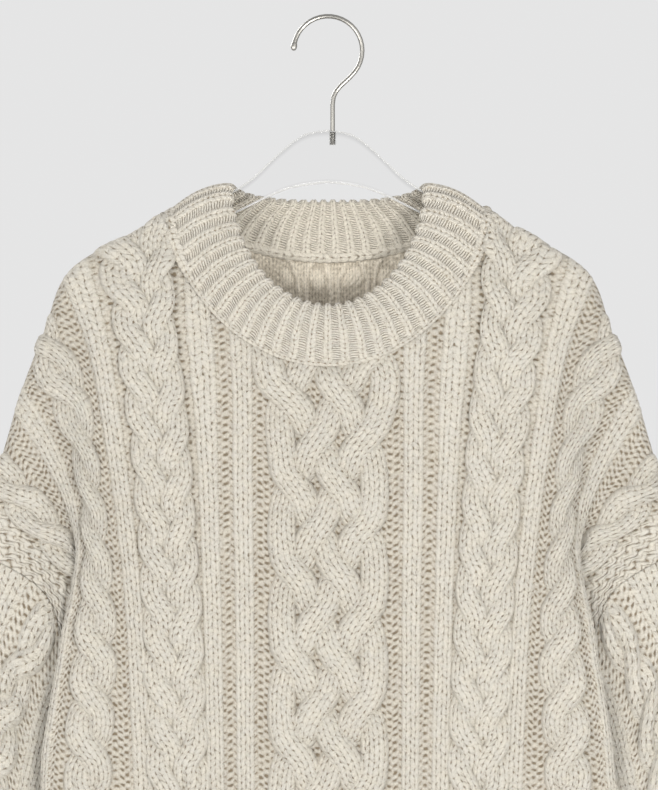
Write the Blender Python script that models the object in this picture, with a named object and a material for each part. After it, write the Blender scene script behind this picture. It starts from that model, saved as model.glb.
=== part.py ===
"""Chunky cable knit sweater hanging on a clear plate hanger with a steel hook.

Sizes are in millimetres and are turned into metres when a mesh is made. +Z is up
and the wearer's front faces -Y. The origin is the inner top of the hook, where a
rail bears. Each knitted piece is a closed wall: an outer face, an inner face a
wall thickness behind it, and the rims between them.

A panel is worked out from its wales, the columns of stitches that run down it. A
wale is named by its flat distance from the panel's middle. SECTIONS says where
the named wales lie at a few falls, from the top edge (0) to the hem (1), and
smooth curves run through them both ways.
"""
import math

import bpy
import numpy as np

MM = 0.001

# Cloth
WALL = 4.0              # one layer of the chunky knit, and of the ribs
COLLAR_WALL = 8.0       # collar rib, folded double
SEAM_GAP = 0.3          # kept between two pieces that are sewn together
HALF_GAP = SEAM_GAP / 2
WALE_STEP = 0.5         # steps over which the cloth's slope is taken
FALL_STEP = 0.001
NECK_FALL_STEP = 0.02   # a longer one, because the neck edge is nearly upright at its ends
SHOULDER_LEAN = 0.5     # how far the top of the shoulder looks outward
CROWDED = 8.0           # width of the stretch beside the neck point

# Neck
NECK_HALF = 136.5       # neck point to middle, where the collar is sewn on
NECK_Z = -166.0         # height of the neck points
FRONT_NECK_DROP = 131.5
BACK_NECK_DROP = 39.0
FRONT_NECK_DEPTH = 37.0
BACK_NECK_DEPTH = 29.0
FRONT_NECK_POWER = 0.6  # 0.5 is an ellipse, more is shallower towards the sides
BACK_NECK_POWER = 0.8
NECK_CORNER_DEPTH = 14.0
NECK_PLAN_POWER = 0.5   # bow of the neck edge from above

# Collar
COLLAR_HALF = 85.0      # half width of the collar's top edge
COLLAR_SIDE_Z = -138.0
COLLAR_FRONT_DROP = 111.0
COLLAR_BACK_DROP = 19.0
COLLAR_FRONT_DEPTH = 47.0
COLLAR_BACK_DEPTH = 31.0
COLLAR_PLAN_POWER = 0.3     # makes the top edge a blunt oval from above
COLLAR_SWELL = 5.0      # outward curve of the band between its two edges
COLLAR_OUTWARD = np.array([1 / 136.5, 1 / 40, 0.0])    # which way the band faces, by place
COLLAR_LIFT = 0.6
COLLAR_GAP = 0.8        # the seam runs at a slant, so its gap is measured up the band

# Body
BACK_SHARE = 0.8        # the back lies this much nearer the hanger than the front
FOLD_RADIUS = 12.0      # cloth folding over the shoulder
SEAM_RADIUS = 7.0       # cloth rounding into the side seam
UNDERARM_FALL = 0.5     # the armhole ends and the side seam starts here
CLOSING_FALL = 0.25     # from here down the armhole's two edges close in
HEM_Z = -740.0          # where the panels end and the ribs begin
HEM_BOTTOM_Z = -806.0
HEM_PULL = 0.965        # the rib draws the hem in

# Named wales and their flat distances; they are the columns of the tables below
WALES = {
    "centre": 0, "plait": 60, "band": 100, "neck": 115, "v_cable": 131,
    "edge_band": 160, "cable_a": 200, "lip_front": 225, "lip_edge": 243,
    "lip_back": 258, "tuck": 280, "cable_b": 305, "seam": 350,
}
WALE_AT = tuple(WALES.values())
NECK_WALE = WALES["neck"]
SEAM_WALE = WALES["seam"]
SHOULDER_AT = tuple(at for at in WALE_AT if at >= NECK_WALE)
# Height of the shoulder line, from the neck wale outward
SHOULDER_Z = (-166, -178, -212, -272, -307, -333, -354, -386, -418, -458)

# fall: share of the way down each wale. across: distance from the middle.
# depth: distance in front of the hanger's plane. The body's side folds over
# itself from lip_front to lip_back, tucks in at tuck and comes out to the seam.
SECTIONS = (
    {"fall": 0.0,
     "across": (0, 60, 114, 136.5, 157, 219, 247, 261, 270, 276, 285, 292, 303),
     "depth": (37, 35, 24, 14, 12, 12, 12, 12, 12, 12, 12, 12, 12)},
    {"fall": 0.1,
     "across": (0, 60, 110, 136, 156, 201, 223, 235, 244, 250, 256, 257, 254),
     "depth": (36, 36, 32, 28, 27, 22, 19, 18, 17, 16, 14, 13, 11)},
    {"fall": 0.28,
     "across": (0, 60, 105, 124, 146, 183, 206, 211, 217, 214, 204, 213, 228),
     "depth": (35, 35, 34, 33, 32, 31, 31, 29, 22, 15, 10, 11, 10)},
    {"fall": 0.5,
     "across": (0, 59, 101, 117, 136, 168, 199, 218, 229, 223, 198, 205, 213),
     "depth": (34, 34, 34, 34, 34, 34, 34, 32, 24, 16, 10, 10, 9)},
    {"fall": 0.75,
     "across": (0, 59, 98, 113, 129, 159, 203, 233, 245, 239, 214, 215, 220),
     "depth": (35, 35, 35, 35, 35, 35, 35, 33, 25, 17, 11, 11, 9)},
    {"fall": 1.0,
     "across": (0, 58, 96, 111, 126, 154, 205, 238, 248, 246, 236, 236, 239),
     "depth": (36, 36, 36, 36, 36, 36, 36, 34, 27, 20, 15, 13, 9)},
)

# Where the panels' corners are: dense where the cloth turns
WALE_GRID = (0, 26, 50, 71, 90, 103, 111, 114.2, 114.85, 115, 123, 134, 150, 168, 190,
             210, 225, 235, 244, 252, 260, 270, 281, 294, 312, 334, 346, 350)
FALL_GRID = (0, 0.006, 0.018, 0.036, 0.08, 0.14, 0.21, 0.28, 0.36, 0.43, 0.5,
             0.66, 0.83, 1.0)

# Sleeve: each row is one ring, by its outer and inner edge and half thickness
SLEEVE_RINGS = (
    {"outer": (316, -512), "inner": (224, -638), "half": 9.0},
    {"outer": (326, -566), "inner": (234, -672), "half": 11.5},
    {"outer": (336, -636), "inner": (246, -714), "half": 14.0},
    {"outer": (343, -716), "inner": (256, -766), "half": 16.0},
    {"outer": (345, -804), "inner": (264, -812), "half": 16.0},
)
ARMHOLE_AWAY = np.array([0.62, 0.0, -0.78])     # way off the armhole's edge, at its top
UNDERARM_AWAY = np.array([1.0, 0.0, 0.0])       # and at its bottom
INTO_SLEEVE = np.array([0.96, 0.0, 0.28])       # from the underarm into the sleeve
UNDERARM_TURN = 0.4     # share of the armhole where the wall starts turning that way
ARMHOLE_GAP = 0.7       # the seam runs at a slant, so its gap is wider than the rest
SLEEVE_STEPS = 3        # rings between the armhole and the first ring
SLEEVE_SIDES = 20       # twice the falls down one edge of the armhole
CUFF_LENGTH = 68.0
CUFF_PULL = 0.9

# Hanger: a clear plate with a bright wire hook
PLATE_THICKNESS = 7.0
PLATE_EDGE = 1.6        # rounding of the plate's edges
ARM_WALES = (134, 140, 146, 152)    # wales whose shoulder line the arms follow
ARM_BELOW = 6.0         # plate edge below the cloth's outer face there
ARCH_TOP = ((0, -96), (20, -99.5), (38, -112), (66, -138), (90, -153.5), (112, -165.5), (132, -175.5))
ARCH_BOTTOM = ((0, -142), (33, -147), (75, -166), (110, -183), (150, -204), (190, -225))
TIP = (212, -225)       # middle of the round end of an arm
TIP_RADIUS = 7.0
WIRE = 2.0              # radius of the hook's wire
LOOP_RADIUS = 29.6      # hook's loop, to the wire's middle
FREE_END_ANGLE = 163.0
LOOP_END_ANGLE = -38.0
STEM_X = 4.0
STEM_TOP_Z = -74.0
THREAD_TOP_Z = -98.0
THREAD_BOTTOM_Z = -109.0
THREAD_CREST = 2.5
THREAD_ROOT = 2.1
THREADS = 5
SOCKET_RADIUS = 3.0
SOCKET_BOTTOM_Z = -109.3


# ---------------------------------------------------------------- curves

def smooth(knots, values, at):
    """Values of a smooth curve through the knots (a cubic Hermite curve)."""
    knots = np.asarray(knots, float)
    values = np.asarray(values, float)
    slopes = np.gradient(values, knots)
    at = np.clip(np.asarray(at, float), knots[0], knots[-1])
    i = np.clip(np.searchsorted(knots, at, side="right") - 1, 0, len(knots) - 2)
    span = knots[i + 1] - knots[i]
    t = (at - knots[i]) / span
    stay = 2 * t**3 - 3 * t**2 + 1
    leave = (t**3 - 2 * t**2 + t) * span
    arrive = (t**3 - t**2) * span
    return stay * values[i] + leave * slopes[i] + (1 - stay) * values[i + 1] + arrive * slopes[i + 1]


def ease(low, high, at):
    """0 below low, 1 above high and a smooth step between them."""
    t = np.clip((np.asarray(at, float) - low) / (high - low), 0, 1)
    return t * t * (3 - 2 * t)


def roll(distance, radius):
    """Share of a round fold's depth that is reached at a distance from its edge."""
    left = 1 - np.clip(np.asarray(distance, float) / radius, 0, 1)
    return np.sqrt(1 - left * left)


def unit(vectors):
    return vectors / np.maximum(np.linalg.norm(vectors, axis=-1, keepdims=True), 1e-9)


# ---------------------------------------------------------------- panels

def neckline_height(side, across):
    """Height of the neck edge at a distance from the middle; side is -1 in front."""
    inside = np.clip(1 - (across / NECK_HALF) ** 2, 0, 1)
    if side < 0:
        return NECK_Z - FRONT_NECK_DROP * inside**FRONT_NECK_POWER
    return NECK_Z - BACK_NECK_DROP * inside**BACK_NECK_POWER


def neckline_depth(side, across):
    """Depth of the neck edge: it rolls off the shoulder fold, then bows out."""
    inside = np.clip(1 - (across / NECK_HALF) ** 2, 0, 1)
    middle = FRONT_NECK_DEPTH if side < 0 else BACK_NECK_DEPTH
    corner = NECK_CORNER_DEPTH if side < 0 else NECK_CORNER_DEPTH * BACK_SHARE
    drop = NECK_Z - neckline_height(side, across)
    return (corner + (middle - corner) * inside**NECK_PLAN_POWER) * roll(drop, FOLD_RADIUS)


def panel(side, wale, fall):
    """Points of a panel's outer face. wale is signed, + on the wearer's left (+X)."""
    wale = np.asarray(wale, float)
    flat = np.abs(wale)
    falls = [row["fall"] for row in SECTIONS]
    across_rows = np.array([smooth(WALE_AT, row["across"], flat) for row in SECTIONS])
    depth_rows = np.array([smooth(WALE_AT, row["depth"], flat) for row in SECTIONS])
    across = np.array([smooth(falls, column, fall) for column in across_rows.T])
    depth = np.array([smooth(falls, column, fall) for column in depth_rows.T])
    if side > 0:
        depth = depth * BACK_SHARE

    top_across = across_rows[0]
    on_neck = flat <= NECK_WALE
    shoulder = smooth(SHOULDER_AT, SHOULDER_Z, np.maximum(flat, NECK_WALE))
    top = np.where(on_neck, neckline_height(side, top_across), shoulder)
    top_depth = np.where(on_neck, neckline_depth(side, top_across), 0.0)
    drop = (top - HEM_Z)[:, None] * np.asarray(fall, float)[None, :]
    height = top[:, None] - drop

    depth = top_depth[:, None] + (depth - top_depth[:, None]) * roll(drop, FOLD_RADIUS)
    below_arm = ease(CLOSING_FALL, UNDERARM_FALL, fall)[None, :]
    rounded = depth * roll(SEAM_WALE - flat, SEAM_RADIUS)[:, None]
    depth = depth + (rounded - depth) * below_arm
    depth = np.maximum(depth, HALF_GAP)

    x = np.sign(wale)[:, None] * across
    return np.stack([x, side * depth, height], axis=-1)


def wale_rise(side, wale, fall, step):
    """Vectors up along the wales, over a step of fall each way."""
    above = panel(side, wale, np.clip(fall - step, 0, 1))
    below = panel(side, wale, np.clip(fall + step, 0, 1))
    return above - below


def panel_normals(side, wale, fall):
    """Unit vectors that point out of the cloth."""
    wale = np.asarray(wale, float)
    fall = np.asarray(fall, float)
    flat = np.abs(wale)
    hand = np.where(wale < 0, -1.0, 1.0)
    # No step reaches across the neck point, where the edge has a corner
    floor = np.where(flat >= NECK_WALE, NECK_WALE, 0.0)
    ceiling = np.where(flat >= NECK_WALE, SEAM_WALE, NECK_WALE)
    far = panel(side, hand * np.minimum(flat + WALE_STEP, ceiling), fall)
    near = panel(side, hand * np.maximum(flat - WALE_STEP, floor), fall)
    across = (far - near) * hand[:, None, None]
    below_neck = (flat < NECK_WALE)[:, None, None]
    rise = np.where(below_neck, wale_rise(side, wale, fall, NECK_FALL_STEP),
                    wale_rise(side, wale, fall, FALL_STEP))
    out = unit(np.cross(across, rise)) * -side
    # The wales crowd together beside the neck point, so the cloth there faces as the fold does
    height = panel(side, wale, fall)[..., 2]
    up = np.clip(1 - (NECK_Z - height) / FOLD_RADIUS, 0, 1)
    fold = unit(np.stack([hand[:, None] * SHOULDER_LEAN * up, side * np.sqrt(1 - up**2), up], axis=-1))
    crowded = ease(NECK_WALE - CROWDED, NECK_WALE - CROWDED / 4, flat) * (flat < NECK_WALE)
    share = (crowded[:, None] * (1 - ease(0.1, 0.25, fall))[None, :])[..., None]
    return unit(out + (fold - out) * share)


def level(directions):
    """The directions laid level, so that an edge is cut square."""
    return unit(directions * np.array([1.0, 1.0, 0.0]))


def both_sides(grid):
    """A half grid, from the middle out, made into a whole one."""
    return np.array([-value for value in reversed(grid[1:])] + list(grid))


def panel_faces(side, wale, fall, wall):
    """Outer and inner face of a panel, kept apart from the other panel at seams."""
    outer = panel(side, wale, fall)
    out = panel_normals(side, wale, fall)
    out[:, -1] = level(out[:, -1])
    inner = outer - out * wall
    depth = np.maximum(inner[..., 1] * side, HALF_GAP)
    inner[..., 1] = depth * side
    return outer, inner


# ---------------------------------------------------------------- meshes

def remove_everything():
    for thing in list(bpy.data.objects):
        bpy.data.objects.remove(thing, do_unlink=True)


def make_material(name, colour, roughness, metallic=0.0, transmission=0.0):
    material = bpy.data.materials.new(name)
    material.use_nodes = True
    shader = material.node_tree.nodes["Principled BSDF"]
    shader.inputs["Base Color"].default_value = (*colour, 1)
    shader.inputs["Roughness"].default_value = roughness
    shader.inputs["Metallic"].default_value = metallic
    shader.inputs["Transmission Weight"].default_value = transmission
    return material


def add_object(name, points, faces, material, angle=50.0):
    mesh = bpy.data.meshes.new(name)
    mesh.from_pydata([tuple(point) for point in np.asarray(points, float) * MM], [], faces)
    mesh.update()
    mesh.shade_smooth()
    mesh.set_sharp_from_angle(angle=math.radians(angle))
    mesh.materials.append(material)
    thing = bpy.data.objects.new(name, mesh)
    bpy.context.scene.collection.objects.link(thing)
    return thing


def grid_faces(columns, rows, start, flip, closed=False):
    """Quads of a grid of points stored column by column."""
    faces = []
    for i in range(columns if closed else columns - 1):
        for j in range(rows - 1):
            near = start + i * rows + j
            far = start + (i + 1) % columns * rows + j
            quad = (near, far, far + 1, near + 1)
            faces.append(quad[::-1] if flip else quad)
    return faces


def rim_faces(border, offset, flip):
    """Quads between a border of the outer face and the same border of the inner one."""
    faces = []
    for here, there in zip(border, border[1:]):
        quad = (here, here + offset, there + offset, there)
        faces.append(quad[::-1] if flip else quad)
    return faces


def wall_sheet(name, outer, inner, material, flip):
    """A closed wall from the grids of its two faces, with a rim all round."""
    columns, rows = outer.shape[:2]
    count = columns * rows
    points = np.concatenate([outer.reshape(-1, 3), inner.reshape(-1, 3)])
    faces = grid_faces(columns, rows, 0, flip) + grid_faces(columns, rows, count, not flip)
    top = [i * rows for i in range(columns)]
    right = [(columns - 1) * rows + j for j in range(rows)]
    bottom = [i * rows + rows - 1 for i in reversed(range(columns))]
    left = list(reversed(range(rows)))
    for border in (top, right, bottom, left):
        faces += rim_faces(border, count, flip)
    return add_object(name, points, faces, material)


def wall_tube(name, outer, inner, material, flip):
    """A closed wall from the rings of its two faces, open at both ends."""
    columns, rows = outer.shape[:2]
    count = columns * rows
    points = np.concatenate([outer.reshape(-1, 3), inner.reshape(-1, 3)])
    faces = grid_faces(columns, rows, 0, flip, closed=True)
    faces += grid_faces(columns, rows, count, not flip, closed=True)
    start = [i % columns * rows for i in range(columns + 1)]
    end = [i % columns * rows + rows - 1 for i in reversed(range(columns + 1))]
    for border in (start, end):
        faces += rim_faces(border, count, flip)
    return add_object(name, points, faces, material)


def ring_solid(name, rings, material, flip):
    """A solid whose closed sections (rows of points) go round in a closed loop."""
    columns, rows = rings.shape[:2]
    faces = []
    for i in range(columns):
        for j in range(rows):
            near = i * rows
            far = (i + 1) % columns * rows
            after = (j + 1) % rows
            quad = (near + j, far + j, far + after, near + after)
            faces.append(quad[::-1] if flip else quad)
    return add_object(name, rings.reshape(-1, 3), faces, material)


# ---------------------------------------------------------------- knitted pieces

def make_panel(name, side, material):
    wale = both_sides(WALE_GRID)
    fall = np.array(FALL_GRID)
    outer, inner = panel_faces(side, wale, fall, WALL)
    return wall_sheet(name, outer, inner, material, flip=side < 0)


def make_hem(name, side, material):
    """Rib below a panel: it carries the hem line on down and draws it in."""
    wale = both_sides(WALE_GRID)
    line = panel(side, wale, np.array([1.0]))[:, 0]
    out = level(panel_normals(side, wale, np.array([1.0]))[:, 0])
    outer_rows = []
    inner_rows = []
    for share in (0.0, 0.35, 1.0):
        pull = 1 - (1 - HEM_PULL) * ease(0, 1, share)
        row = line * np.array([pull, 1.0, 1.0])
        row[:, 1] = side * np.maximum(np.abs(row[:, 1]) * pull, HALF_GAP)
        row[:, 2] += (HEM_BOTTOM_Z - row[:, 2]) * share - SEAM_GAP * (1 - share)
        behind = row - out * WALL
        behind[:, 1] = side * np.maximum(behind[:, 1] * side, HALF_GAP)
        outer_rows.append(row)
        inner_rows.append(behind)
    outer = np.stack(outer_rows, axis=1)
    inner = np.stack(inner_rows, axis=1)
    return wall_sheet(name, outer, inner, material, flip=side < 0)


def neck_rings():
    """Outer and inner edge of the neck, once round, front first."""
    half = [value for value in WALE_GRID if value <= NECK_WALE]
    wales = both_sides(half)
    fall = np.array(FALL_GRID)
    front_outer, front_inner = panel_faces(-1, wales, fall, WALL)
    back_outer, back_inner = panel_faces(1, wales, fall, WALL)
    outer = np.concatenate([front_outer[:-1, 0], back_outer[:0:-1, 0]])
    inner = np.concatenate([front_inner[:-1, 0], back_inner[:0:-1, 0]])
    for ring in (outer, inner):
        # The two panels share the neck points
        ring[[0, len(half) * 2 - 2], 1] = 0.0
    return outer, inner


def collar_top(base):
    """Top edge of the collar, point for point above its base."""
    turn = np.clip(base[:, 0] / NECK_HALF, -1, 1)
    reach = np.sqrt(1 - turn**2)
    plan_reach = (1 - turn**2) ** COLLAR_PLAN_POWER
    in_front = base[:, 1] < 0
    drop = np.where(in_front, COLLAR_FRONT_DROP, COLLAR_BACK_DROP)
    depth = np.where(in_front, -COLLAR_FRONT_DEPTH, COLLAR_BACK_DEPTH)
    x = COLLAR_HALF * turn
    return np.stack([x, depth * plan_reach, COLLAR_SIDE_Z - drop * reach], axis=1)


def make_collar(name, material):
    """Double rib band, from the neck edge up to its rolled top edge."""
    base, base_inner = neck_rings()
    top = collar_top(base)
    rise = unit(top - base)
    outward = base * COLLAR_OUTWARD + np.array([0.0, 0.0, COLLAR_LIFT])
    out = unit(outward - rise * np.sum(outward * rise, axis=1, keepdims=True))
    half = COLLAR_WALL / 2
    # share: way up the band. off: distance out from the band's middle.
    section = [(0.3, half), (0.6, half), (0.86, half), (0.97, half * 0.7), (1.0, 0.0)]
    section += [(0.97, -half * 0.7), (0.86, -half), (0.55, -half), (0.2, -half)]
    rings = [base + rise * COLLAR_GAP]
    for share, off in section:
        swell = COLLAR_SWELL * math.sin(math.pi * share) - half
        rings.append(base + (top - base) * share + out * (off + swell))
    rings.append(base_inner + rise * COLLAR_GAP)
    return ring_solid(name, np.stack(rings, axis=1), material, flip=False)


# ---------------------------------------------------------------- sleeves

def armhole_rings():
    """Outer and inner edge of the armhole, from its outer top over the front."""
    fall = np.array(FALL_GRID)
    count = FALL_GRID.index(UNDERARM_FALL) + 1
    wale = np.array([SEAM_WALE])
    front_outer, front_inner = panel_faces(-1, wale, fall, WALL)
    back_outer, back_inner = panel_faces(1, wale, fall, WALL)
    outer = np.concatenate([front_outer[0, :count - 1], back_outer[0, count - 1:0:-1]])
    inner = np.concatenate([front_inner[0, :count - 1], back_inner[0, count - 1:0:-1]])
    outer[count - 1, 1] = 0.0
    closing = fall[:count] / UNDERARM_FALL
    closing = np.concatenate([closing[:-1], closing[:0:-1]])[:, None]
    away = unit(ARMHOLE_AWAY + (UNDERARM_AWAY - ARMHOLE_AWAY) * closing) * ARMHOLE_GAP
    # The panels' wall ends inside the body, the sleeve's inside the sleeve
    turned = ease(UNDERARM_TURN, 1, closing)
    thickness = (inner - outer) * (1 - turned) + INTO_SLEEVE * WALL * turned
    return outer + away, outer + away + thickness


def sleeve_ring(row, sides):
    """An oval ring between its outer and inner edge."""
    outer = np.array([row["outer"][0], 0.0, row["outer"][1]])
    inner = np.array([row["inner"][0], 0.0, row["inner"][1]])
    middle = (outer + inner) / 2
    reach = (outer - inner) / 2
    turn = np.linspace(0, 2 * math.pi, sides, endpoint=False)
    front = np.array([0.0, -row["half"], 0.0])
    return middle + np.cos(turn)[:, None] * reach + np.sin(turn)[:, None] * front


def shrink_ring(ring, wall):
    """The ring drawn in by a wall's thickness, towards its own inside."""
    ahead = np.roll(ring, -1, axis=0) - np.roll(ring, 1, axis=0)
    middle = ring.mean(axis=0)
    spread = ring - middle
    _, _, axes = np.linalg.svd(spread)
    normal = axes[2]
    into = unit(np.cross(normal, unit(ahead)))
    towards = np.sign(np.sum(into * (middle - ring), axis=1).sum())
    return ring + into * towards * wall


def sleeve_rings():
    """Outer and inner rings of a sleeve, from the armhole to the cuff."""
    start, start_inner = armhole_rings()
    outer = [sleeve_ring(row, SLEEVE_SIDES) for row in SLEEVE_RINGS]
    inner = [shrink_ring(ring, WALL) for ring in outer]
    outer_blend = [start + (outer[0] - start) * step / SLEEVE_STEPS for step in range(SLEEVE_STEPS)]
    inner_blend = [start_inner + (inner[0] - start_inner) * step / SLEEVE_STEPS for step in range(SLEEVE_STEPS)]
    return outer_blend + outer, inner_blend + inner


def mirrored(points, hand):
    return points * np.array([hand, 1.0, 1.0])


def make_sleeve(name, hand, material):
    outer_rings, inner_rings = sleeve_rings()
    outer = np.stack(outer_rings, axis=1)
    inner = np.stack(inner_rings, axis=1)
    return wall_tube(name, mirrored(outer, hand), mirrored(inner, hand), material, flip=hand < 0)


def make_cuff(name, hand, material):
    """Rib at the end of a sleeve: a narrower tube straight below it."""
    last = sleeve_ring(SLEEVE_RINGS[-1], SLEEVE_SIDES)
    before = sleeve_ring(SLEEVE_RINGS[-2], SLEEVE_SIDES)
    down = unit(last.mean(axis=0) - before.mean(axis=0))
    middle = last.mean(axis=0)
    rings = []
    for share in (0.0, 0.3, 1.0):
        pull = 1 - (1 - CUFF_PULL) * float(ease(0, 0.6, share))
        rings.append(middle + (last - middle) * pull + down * (SEAM_GAP + CUFF_LENGTH * share))
    outer = np.stack(rings, axis=1)
    inner = np.stack([shrink_ring(ring, WALL) for ring in rings], axis=1)
    return wall_tube(name, mirrored(outer, hand), mirrored(inner, hand), material, flip=hand < 0)


# ---------------------------------------------------------------- hanger

def plate_outline():
    """Half outline of the hanger's plate, from the top middle to the bottom middle."""
    shoulder_x = smooth(WALE_AT, SECTIONS[0]["across"], ARM_WALES)
    shoulder_z = smooth(SHOULDER_AT, SHOULDER_Z, ARM_WALES)
    arm = [(x - ARM_BELOW * 0.4, z - ARM_BELOW * 0.92) for x, z in zip(shoulder_x, shoulder_z)]
    tip = []
    for angle in (50, 10, -30, -70, -110):
        turn = math.radians(angle)
        tip.append((TIP[0] - TIP_RADIUS + TIP_RADIUS * math.cos(turn), TIP[1] + TIP_RADIUS * math.sin(turn)))
    corners = list(ARCH_TOP) + arm
    return refine(corners, 2) + tip + refine(list(reversed(ARCH_BOTTOM)), 2)


def refine(corners, pieces):
    """More points along a smooth curve through the corners."""
    corners = np.array(corners, float)
    steps = np.linalg.norm(np.diff(corners, axis=0), axis=1)
    length = np.concatenate([[0], np.cumsum(steps)])
    at = np.interp(np.arange((len(corners) - 1) * pieces + 1) / pieces, np.arange(len(corners)), length)
    x = smooth(length, corners[:, 0], at)
    z = smooth(length, corners[:, 1], at)
    return list(zip(x, z))


def make_plate(name, material):
    """Clear plate of the hanger, its long edges rounded, with the hook's socket."""
    half = plate_outline()
    outline = [(x, z) for x, z in half] + [(-x, z) for x, z in reversed(half[1:-1])]
    count = len(outline)
    middle = np.array([[x, 0.0, z] for x, z in outline])
    ahead = unit(np.roll(middle, -1, axis=0) - np.roll(middle, 1, axis=0))
    into = np.cross(np.array([0.0, 1.0, 0.0]), ahead)
    side = PLATE_THICKNESS / 2
    rows = [(-side, PLATE_EDGE), (-side + PLATE_EDGE, 0.0), (side - PLATE_EDGE, 0.0), (side, PLATE_EDGE)]
    points = []
    for depth, inset in rows:
        points += list(middle + into * inset + np.array([0.0, depth, 0.0]))
    faces = []
    for row in range(len(rows) - 1):
        for i in range(count):
            after = (i + 1) % count
            low = row * count
            faces.append((low + i, low + count + i, low + count + after, low + after))
    faces.append(tuple(range(count)))
    faces.append(tuple((len(rows) - 1) * count + i for i in reversed(range(count))))
    plate = add_object(name, points, faces, material, angle=25.0)

    height = abs(SOCKET_BOTTOM_Z) + 20
    bpy.ops.mesh.primitive_cylinder_add(
        vertices=16, radius=SOCKET_RADIUS * MM, depth=height * MM,
        location=(STEM_X * MM, 0, (SOCKET_BOTTOM_Z + height / 2) * MM))
    cutter = bpy.context.object
    cutter.name = "socket_cutter"
    cutter.hide_render = True
    cutter.display_type = "WIRE"
    cut = plate.modifiers.new("socket", "BOOLEAN")
    cut.operation = "DIFFERENCE"
    cut.solver = "EXACT"
    cut.object = cutter
    return plate


def hook_path():
    """Middle of the hook's wire with its radius, from the free end to the thread."""
    centre = np.array([0.0, -(LOOP_RADIUS - WIRE)])
    path = []
    ball = ((-9.0, 0.4), (-8.6, 1.5), (-7.4, 2.3), (-5.6, 2.75), (-3.6, 2.6), (-1.8, 2.15))
    per_degree = math.radians(1) * LOOP_RADIUS
    for back, radius in ball:
        turn = math.radians(FREE_END_ANGLE - back / per_degree)
        path.append((centre + LOOP_RADIUS * np.array([math.cos(turn), math.sin(turn)]), radius))
    for angle in np.linspace(FREE_END_ANGLE - 3, LOOP_END_ANGLE, 22):
        turn = math.radians(angle)
        path.append((centre + LOOP_RADIUS * np.array([math.cos(turn), math.sin(turn)]), WIRE))
    path += reverse_bend(path[-1][0])
    path.append((np.array([STEM_X, THREAD_TOP_Z + 0.6]), WIRE))
    for k in range(THREADS):
        pitch = (THREAD_TOP_Z - THREAD_BOTTOM_Z) / THREADS
        crest = THREAD_TOP_Z - pitch * (k + 0.35)
        path.append((np.array([STEM_X, crest]), THREAD_CREST))
        path.append((np.array([STEM_X, crest - pitch * 0.5]), THREAD_ROOT))
    path.append((np.array([STEM_X, THREAD_BOTTOM_Z]), THREAD_ROOT * 0.8))
    return path


def reverse_bend(start):
    """The wire's turn from the end of the loop back to the upright stem."""
    leave = math.radians(LOOP_END_ANGLE - 90)
    heading = np.array([math.cos(leave), math.sin(leave)])
    finish = np.array([STEM_X, STEM_TOP_Z])
    reach = np.linalg.norm(finish - start)
    path = []
    for t in (0.17, 0.33, 0.5, 0.67, 0.83, 1.0):
        a = start + heading * reach * 0.42
        b = finish + np.array([0.0, reach * 0.42])
        spot = (1 - t)**3 * start + 3 * (1 - t)**2 * t * a + 3 * (1 - t) * t**2 * b + t**3 * finish
        path.append((spot, WIRE))
    return path


def make_hook(name, material, sides=12):
    path = hook_path()
    middle = np.array([[spot[0], 0.0, spot[1]] for spot, _ in path])
    radii = [radius for _, radius in path]
    ahead = unit(np.gradient(middle, axis=0))
    across = np.array([0.0, 1.0, 0.0])
    points = []
    for spot, direction, radius in zip(middle, ahead, radii):
        lift = np.cross(direction, across)
        for k in range(sides):
            turn = 2 * math.pi * k / sides
            points.append(spot + radius * (math.cos(turn) * across + math.sin(turn) * lift))
    faces = []
    for i in range(len(path) - 1):
        for k in range(sides):
            after = (k + 1) % sides
            near = i * sides
            far = near + sides
            faces.append((near + k, far + k, far + after, near + after)[::-1])
    faces.append(tuple(range(sides))[::-1])
    faces.append(tuple((len(path) - 1) * sides + k for k in range(sides)))
    return add_object(name, points, faces, material, angle=60.0)


# ---------------------------------------------------------------- build

def main():
    remove_everything()
    wool = make_material("wool_cream", (0.70, 0.64, 0.54), 0.95)
    wool_rib = make_material("wool_rib", (0.69, 0.63, 0.53), 0.95)
    clear = make_material("clear_acrylic", (0.92, 0.94, 0.94), 0.05, transmission=1.0)
    steel = make_material("satin_steel", (0.62, 0.60, 0.57), 0.28, metallic=1.0)

    make_panel("front_panel", -1, wool)
    make_panel("back_panel", 1, wool)
    make_collar("collar_rib", wool_rib)
    make_hem("front_hem_rib", -1, wool_rib)
    make_hem("back_hem_rib", 1, wool_rib)
    for label, hand in (("left", 1), ("right", -1)):
        make_sleeve("sleeve_" + label, hand, wool)
        make_cuff("cuff_rib_" + label, hand, wool_rib)
    make_plate("hanger_plate", clear)
    make_hook("hanger_hook", steel)


main()
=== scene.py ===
"""Looks of the chunky cable knit sweater on its clear hanger.

Sizes are in millimetres until a mesh is made. +Z is up, the wearer's front faces -Y
and the origin is the inner top of the hook, as in part.py, whose form functions are
repeated here and sampled finely. A spot on a panel is named by its wale (the flat
distance from the panel's middle, + on the wearer's left) and its row (counted up
from the hem rib, by length along the wale). Stitches, cables and ribs are laid out
in those two, and every mesh carries them as its "stitch" UV map for the materials.
"""
import math

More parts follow.
